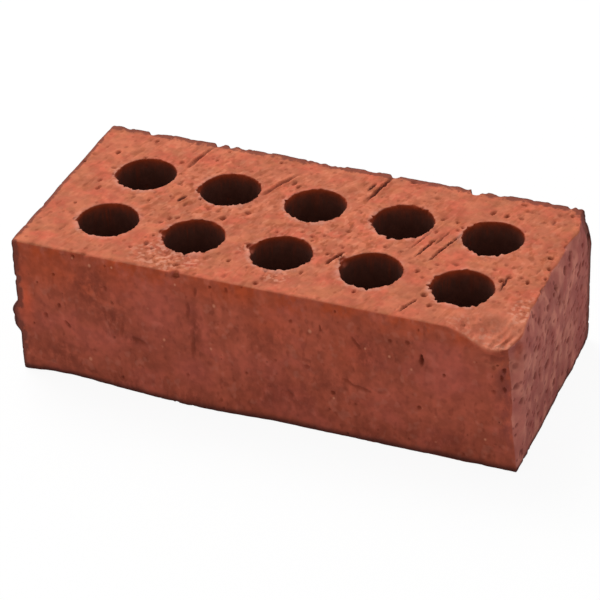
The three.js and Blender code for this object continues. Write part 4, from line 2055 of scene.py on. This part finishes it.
# X, Y, Z and radius of each lime speck or pale crumb that is plain to see.
PLAIN_SPECKS = (
    (52.0, -46.0, 41.3, 0.6),
    (42.6, -46.0, 42.7, 0.5),
    (29.7, -46.0, 17.3, 0.5),
    (-75.4, -46.0, 57.4, 0.6),
    (-68.5, -46.0, 55.3, 0.7),
    (-59.0, -46.0, 56.6, 0.5),
    (-39.2, -46.0, 27.9, 0.6),
    (-19.8, -46.0, 28.2, 0.6),
    (-17.4, -46.0, 48.4, 0.7),
    (-33.0, -46.0, 54.5, 0.5),
    (21.0, -46.0, 45.8, 0.8),
    (60.5, -46.0, 37.4, 0.6),
    (89.1, -46.0, 12.6, 0.6),
    (-71.5, -46.0, 11.5, 0.8),
    (22.6, -14.8, 60.0, 1.1),
    (22.4, -19.3, 60.0, 0.7),
    (-12.2, -17.6, 60.0, 0.9),
    (-12.7, -23.3, 60.0, 0.7),
    (2.4, -32.3, 60.0, 0.8),
    (5.7, -32.4, 60.0, 1.0),
    (7.6, -29.6, 60.0, 0.7),
)

# Each patch: its place across and along the face, its reach each way, then its strength. These are
# where the top bed face crumbled.
ROUGH_PLACES = (
    Patch(-40.0, -36.0, 15.0, 11.0),
    Patch(90.0, -43.0, 16.0, 9.0),
    Patch(98.0, -30.0, 6.0, 14.0, 0.9),
    Patch(14.0, -6.0, 8.0, 8.0, 0.25),
    Patch(4.0, -36.0, 6.0, 6.0, 0.7),
    Patch(-14.0, -21.0, 3.5, 3.5),
    Patch(23.0, -18.0, 4.0, 4.0),
)

# Where it was knocked to rubble, and painted paler, partly with painted light.
BROKEN = (Patch(95.0, -44.0, 13.0, 10.0, 1.5),)

# Where the wire tore the top bed face most.
TORN_PLACES = (
    Patch(-40.0, 8.0, 34.0, 30.0),
    Patch(10.0, 4.0, 40.0, 34.0),
    Patch(88.0, 6.0, 16.0, 40.0, 0.7),
)

# Where the kiln, a knock or rubbing changed the clay's colour, by face, and where a highlight is painted
# on the front's left corner.
TINTS = {
    Trace.CRUMBLED: (Face.TOP, ROUGH_PLACES),
    Trace.TORN: (Face.TOP, TORN_PLACES),
    Trace.BROKEN: (Face.TOP, BROKEN),
    Trace.SMOKY: (
        Face.FRONT,
        (
            Patch(-69.0, 45.0, 10.0, 12.0),
            Patch(-61.0, 33.0, 7.0, 8.0),
            Patch(-52.0, 25.0, 4.5, 2.5),
            Patch(-25.5, 36.0, 2.5, 13.0),
            Patch(12.0, 15.0, 16.0, 9.0, 0.7),
            Patch(44.0, 40.0, 8.0, 10.0, 0.8),
            Patch(72.0, 9.0, 16.0, 5.0, 0.7),
            Patch(-84.0, 11.0, 9.0, 7.0, 0.9),
            Patch(-99.0, 8.0, 4.0, 12.0, 0.8),
            Patch(-99.0, 50.0, 4.0, 9.0, 0.8),
            Patch(98.0, 40.0, 4.0, 22.0, 0.7),
            Patch(4.0, 38.0, 11.0, 6.0, 0.8),
            Patch(28.0, 22.0, 10.0, 10.0, 0.7),
            Patch(-57.0, 4.0, 9.0, 4.0, 0.9),
            Patch(-28.0, 4.0, 9.0, 4.0, 0.9),
            Patch(42.0, 4.0, 7.0, 4.0, 0.9),
            Patch(2.0, 12.0, 9.0, 6.0, 0.7),
        ),
    ),
    Trace.BROWN: (
        Face.FRONT,
        (
            Patch(-86.0, 50.0, 16.0, 8.0, 1.0),
            Patch(-58.0, 50.0, 9.0, 7.0, 0.7),
            Patch(-10.0, 55.0, 16.0, 5.0, 0.7),
            Patch(6.0, 45.0, 10.0, 6.0, 0.6),
            Patch(-70.0, 45.0, 9.0, 5.0, 0.7),
            Patch(38.0, 40.0, 8.0, 9.0, 0.6),
            Patch(98.0, 48.0, 4.0, 12.0, 0.6),
        ),
    ),
    Trace.ROSY: (
        Face.FRONT,
        (
            Patch(-41.0, 40.0, 10.0, 16.0, 0.7),
            Patch(-28.0, 16.0, 8.0, 6.0, 1.0),
            Patch(-4.0, 24.0, 12.0, 6.0, 0.5),
            Patch(76.0, 38.0, 12.0, 12.0, 0.6),
            Patch(-68.0, 20.0, 12.0, 7.0, 0.5),
            Patch(52.0, 22.0, 12.0, 7.0, 0.4),
        ),
    ),
    # the painted highlight on the front's rounded left corner
    Trace.FLAMED: (
        Face.FRONT,
        (
            Patch(-97.0, 34.0, 2.4, 9.0, 1.0),
            Patch(-97.0, 46.0, 1.8, 5.0, 0.4),
        ),
    ),
    Trace.RUBBED: (
        Face.FRONT,
        (
            Patch(99.5, 42.0, 6.0, 15.0),
            Patch(99.0, 22.0, 4.5, 12.0, 0.8),
        ),
    ),
    Trace.RUBBED_END: (Face.RIGHT, (Patch(-45.0, 47.0, 6.0, 7.0),)),
}

# The right header's torn pits.
END_MARKS = (
    Mark(-43.0, 45.5, 3.0, 3.0, 1.2),
    Mark(-43.0, 37.0, 3.0, 2.8, 1.2),
    Mark(-37.3, 47.0, 2.7, 3.0, 1.0),
    Mark(-34.7, 19.1, 2.7, 2.6, 1.0),
    Mark(-29.5, 11.3, 2.7, 2.6, 1.0),
    Mark(-21.4, 40.8, 2.7, 3.0, 1.0),
    Mark(-19.5, 28.7, 3.0, 3.2, 1.0),
    Mark(-13.1, 43.4, 3.0, 3.2, 1.1),
    Mark(-9.4, 25.5, 3.0, 3.4, 1.2),
    Mark(-9.9, 51.1, 3.0, 2.8, 1.1),
    Mark(-0.9, 10.9, 3.8, 3.4, 1.3),
    Mark(1.1, 53.0, 3.0, 2.8, 1.2),
    Mark(11.9, 53.0, 2.7, 2.8, 1.1),
    Mark(29.9, 44.3, 3.5, 3.2, 1.2),
)

# The front stretcher's slits, dents and pits.
FRONT_MARKS = (
    Mark(-32.4, 58.4, 3.2, 2.6, 1.9),
    Mark(-12.3, 56.7, 1.3, 2.6, 0.9),
    Mark(98.8, 44.8, 2.2, 3.0, 1.2),
    Mark(95.4, 48.8, 1.6, 2.2, 1.0),
    Mark(97.0, 40.8, 2.0, 2.8, 1.1),
    Mark(98.0, 36.4, 2.2, 2.4, 1.1),
    Mark(92.4, 35.0, 1.6, 1.8, 0.8),
    Mark(-24.8, 53.0, 1.5, 5, 0.6, -8),
    Mark(-28.3, 43.6, 1.8, 9, 0.6, -3),
    Mark(-27.0, 29.0, 2.2, 15.5, 0.5, -2),
    Mark(-56.8, 28.5, 1.6, 8, 0.4, -5),
    Mark(-50.0, 24.8, 2.6, 7, 0.5, 70),
    Mark(-80.0, 26.0, 1.8, 4.5, 0.9, 35),
    Mark(-89.2, 28.1, 1.8, 2.4, 0.9),
    Mark(-83.1, 33.7, 1.6, 2.6, 0.9),
    Mark(-62.5, 46.1, 1.8, 2.6, 0.6),
    Mark(25.1, 48.0, 1.3, 3, 0.7),
    Mark(27.6, 47.6, 3.2, 4.5, -0.5, 40),
    Mark(39.1, 44.1, 1.5, 7.5, 0.6, 35),
    Mark(64.4, 42.4, 1.8, 5.5, 1.9, 0),
    Mark(35.5, 26.3, 1.9, 5.5, 0.7, 60),
    Mark(41.0, 24.3, 2.1, 8.5, 0.7, 78),
    Mark(29.4, 19.5, 1.8, 2.0, 1.2),
    Mark(19.3, 29.1, 2.2, 2.2, 0.7),
    Mark(11.5, 14.7, 2.2, 5.0, 0.6, 75),
)

DRAWN_MARKS = (  # the faces whose marks get painted shade inside, and how dark
    (Face.TOP, WIRE_MARKS, 0.85),
    (Face.FRONT, FRONT_MARKS, 0.26),
)


def build_brick(frame: dict) -> Brick:
    """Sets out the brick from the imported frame.


    Returns:
        The brick, ready to build.
    """
    low, high = (Vector(corner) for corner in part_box(NODE))
    boxes = [opening["box_m"] for opening in frame["record"]["physics"]["openings"]]
    centres = [[(a + b) / 2 / MM for a, b in zip(box[0][:2], box[1][:2])] for box in boxes]
    surfaces = {
        Face.TOP: WireCut(11, WIRE_MARKS, rough=ROUGH_PLACES, torn=TORN_PLACES),
        Face.BOTTOM: WireCut(23),
        Face.FRONT: DieSkin(31, FRONT_MARKS),
        Face.BACK: DieSkin(37),
        Face.RIGHT: DraggedEnd(41, END_MARKS),
        Face.LEFT: DraggedEnd(43),
    }
    return Brick(
        low,
        high,
        np.array(centres),
        singed_and_shaded=SINGED_AND_SHADED_ARRISES,
        tints=TINTS,
        presses=WEAR + UNEVEN + LUMPS + CHIPS,
        knocked=BROKEN,
        surfaces=surfaces,
    )


def main() -> None:
    """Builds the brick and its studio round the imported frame."""
    logging.basicConfig(level=logging.INFO, format="%(name)s: %(message)s")
    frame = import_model()
    bpy.context.scene.view_settings.view_transform = "Standard"

    Viewpoint().make()
    Studio().make()
    brick = build_brick(frame).build()
    finish = FiredClay(drawn=DRAWN_MARKS, plain_specks=PLAIN_SPECKS)
    brick.data.materials.append(finish.make())
    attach(brick, BODY)
    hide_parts(NODE)
    log.info("%s: %d triangles", brick.name, triangles_in(brick.data))


if __name__ == "__main__":
    main()
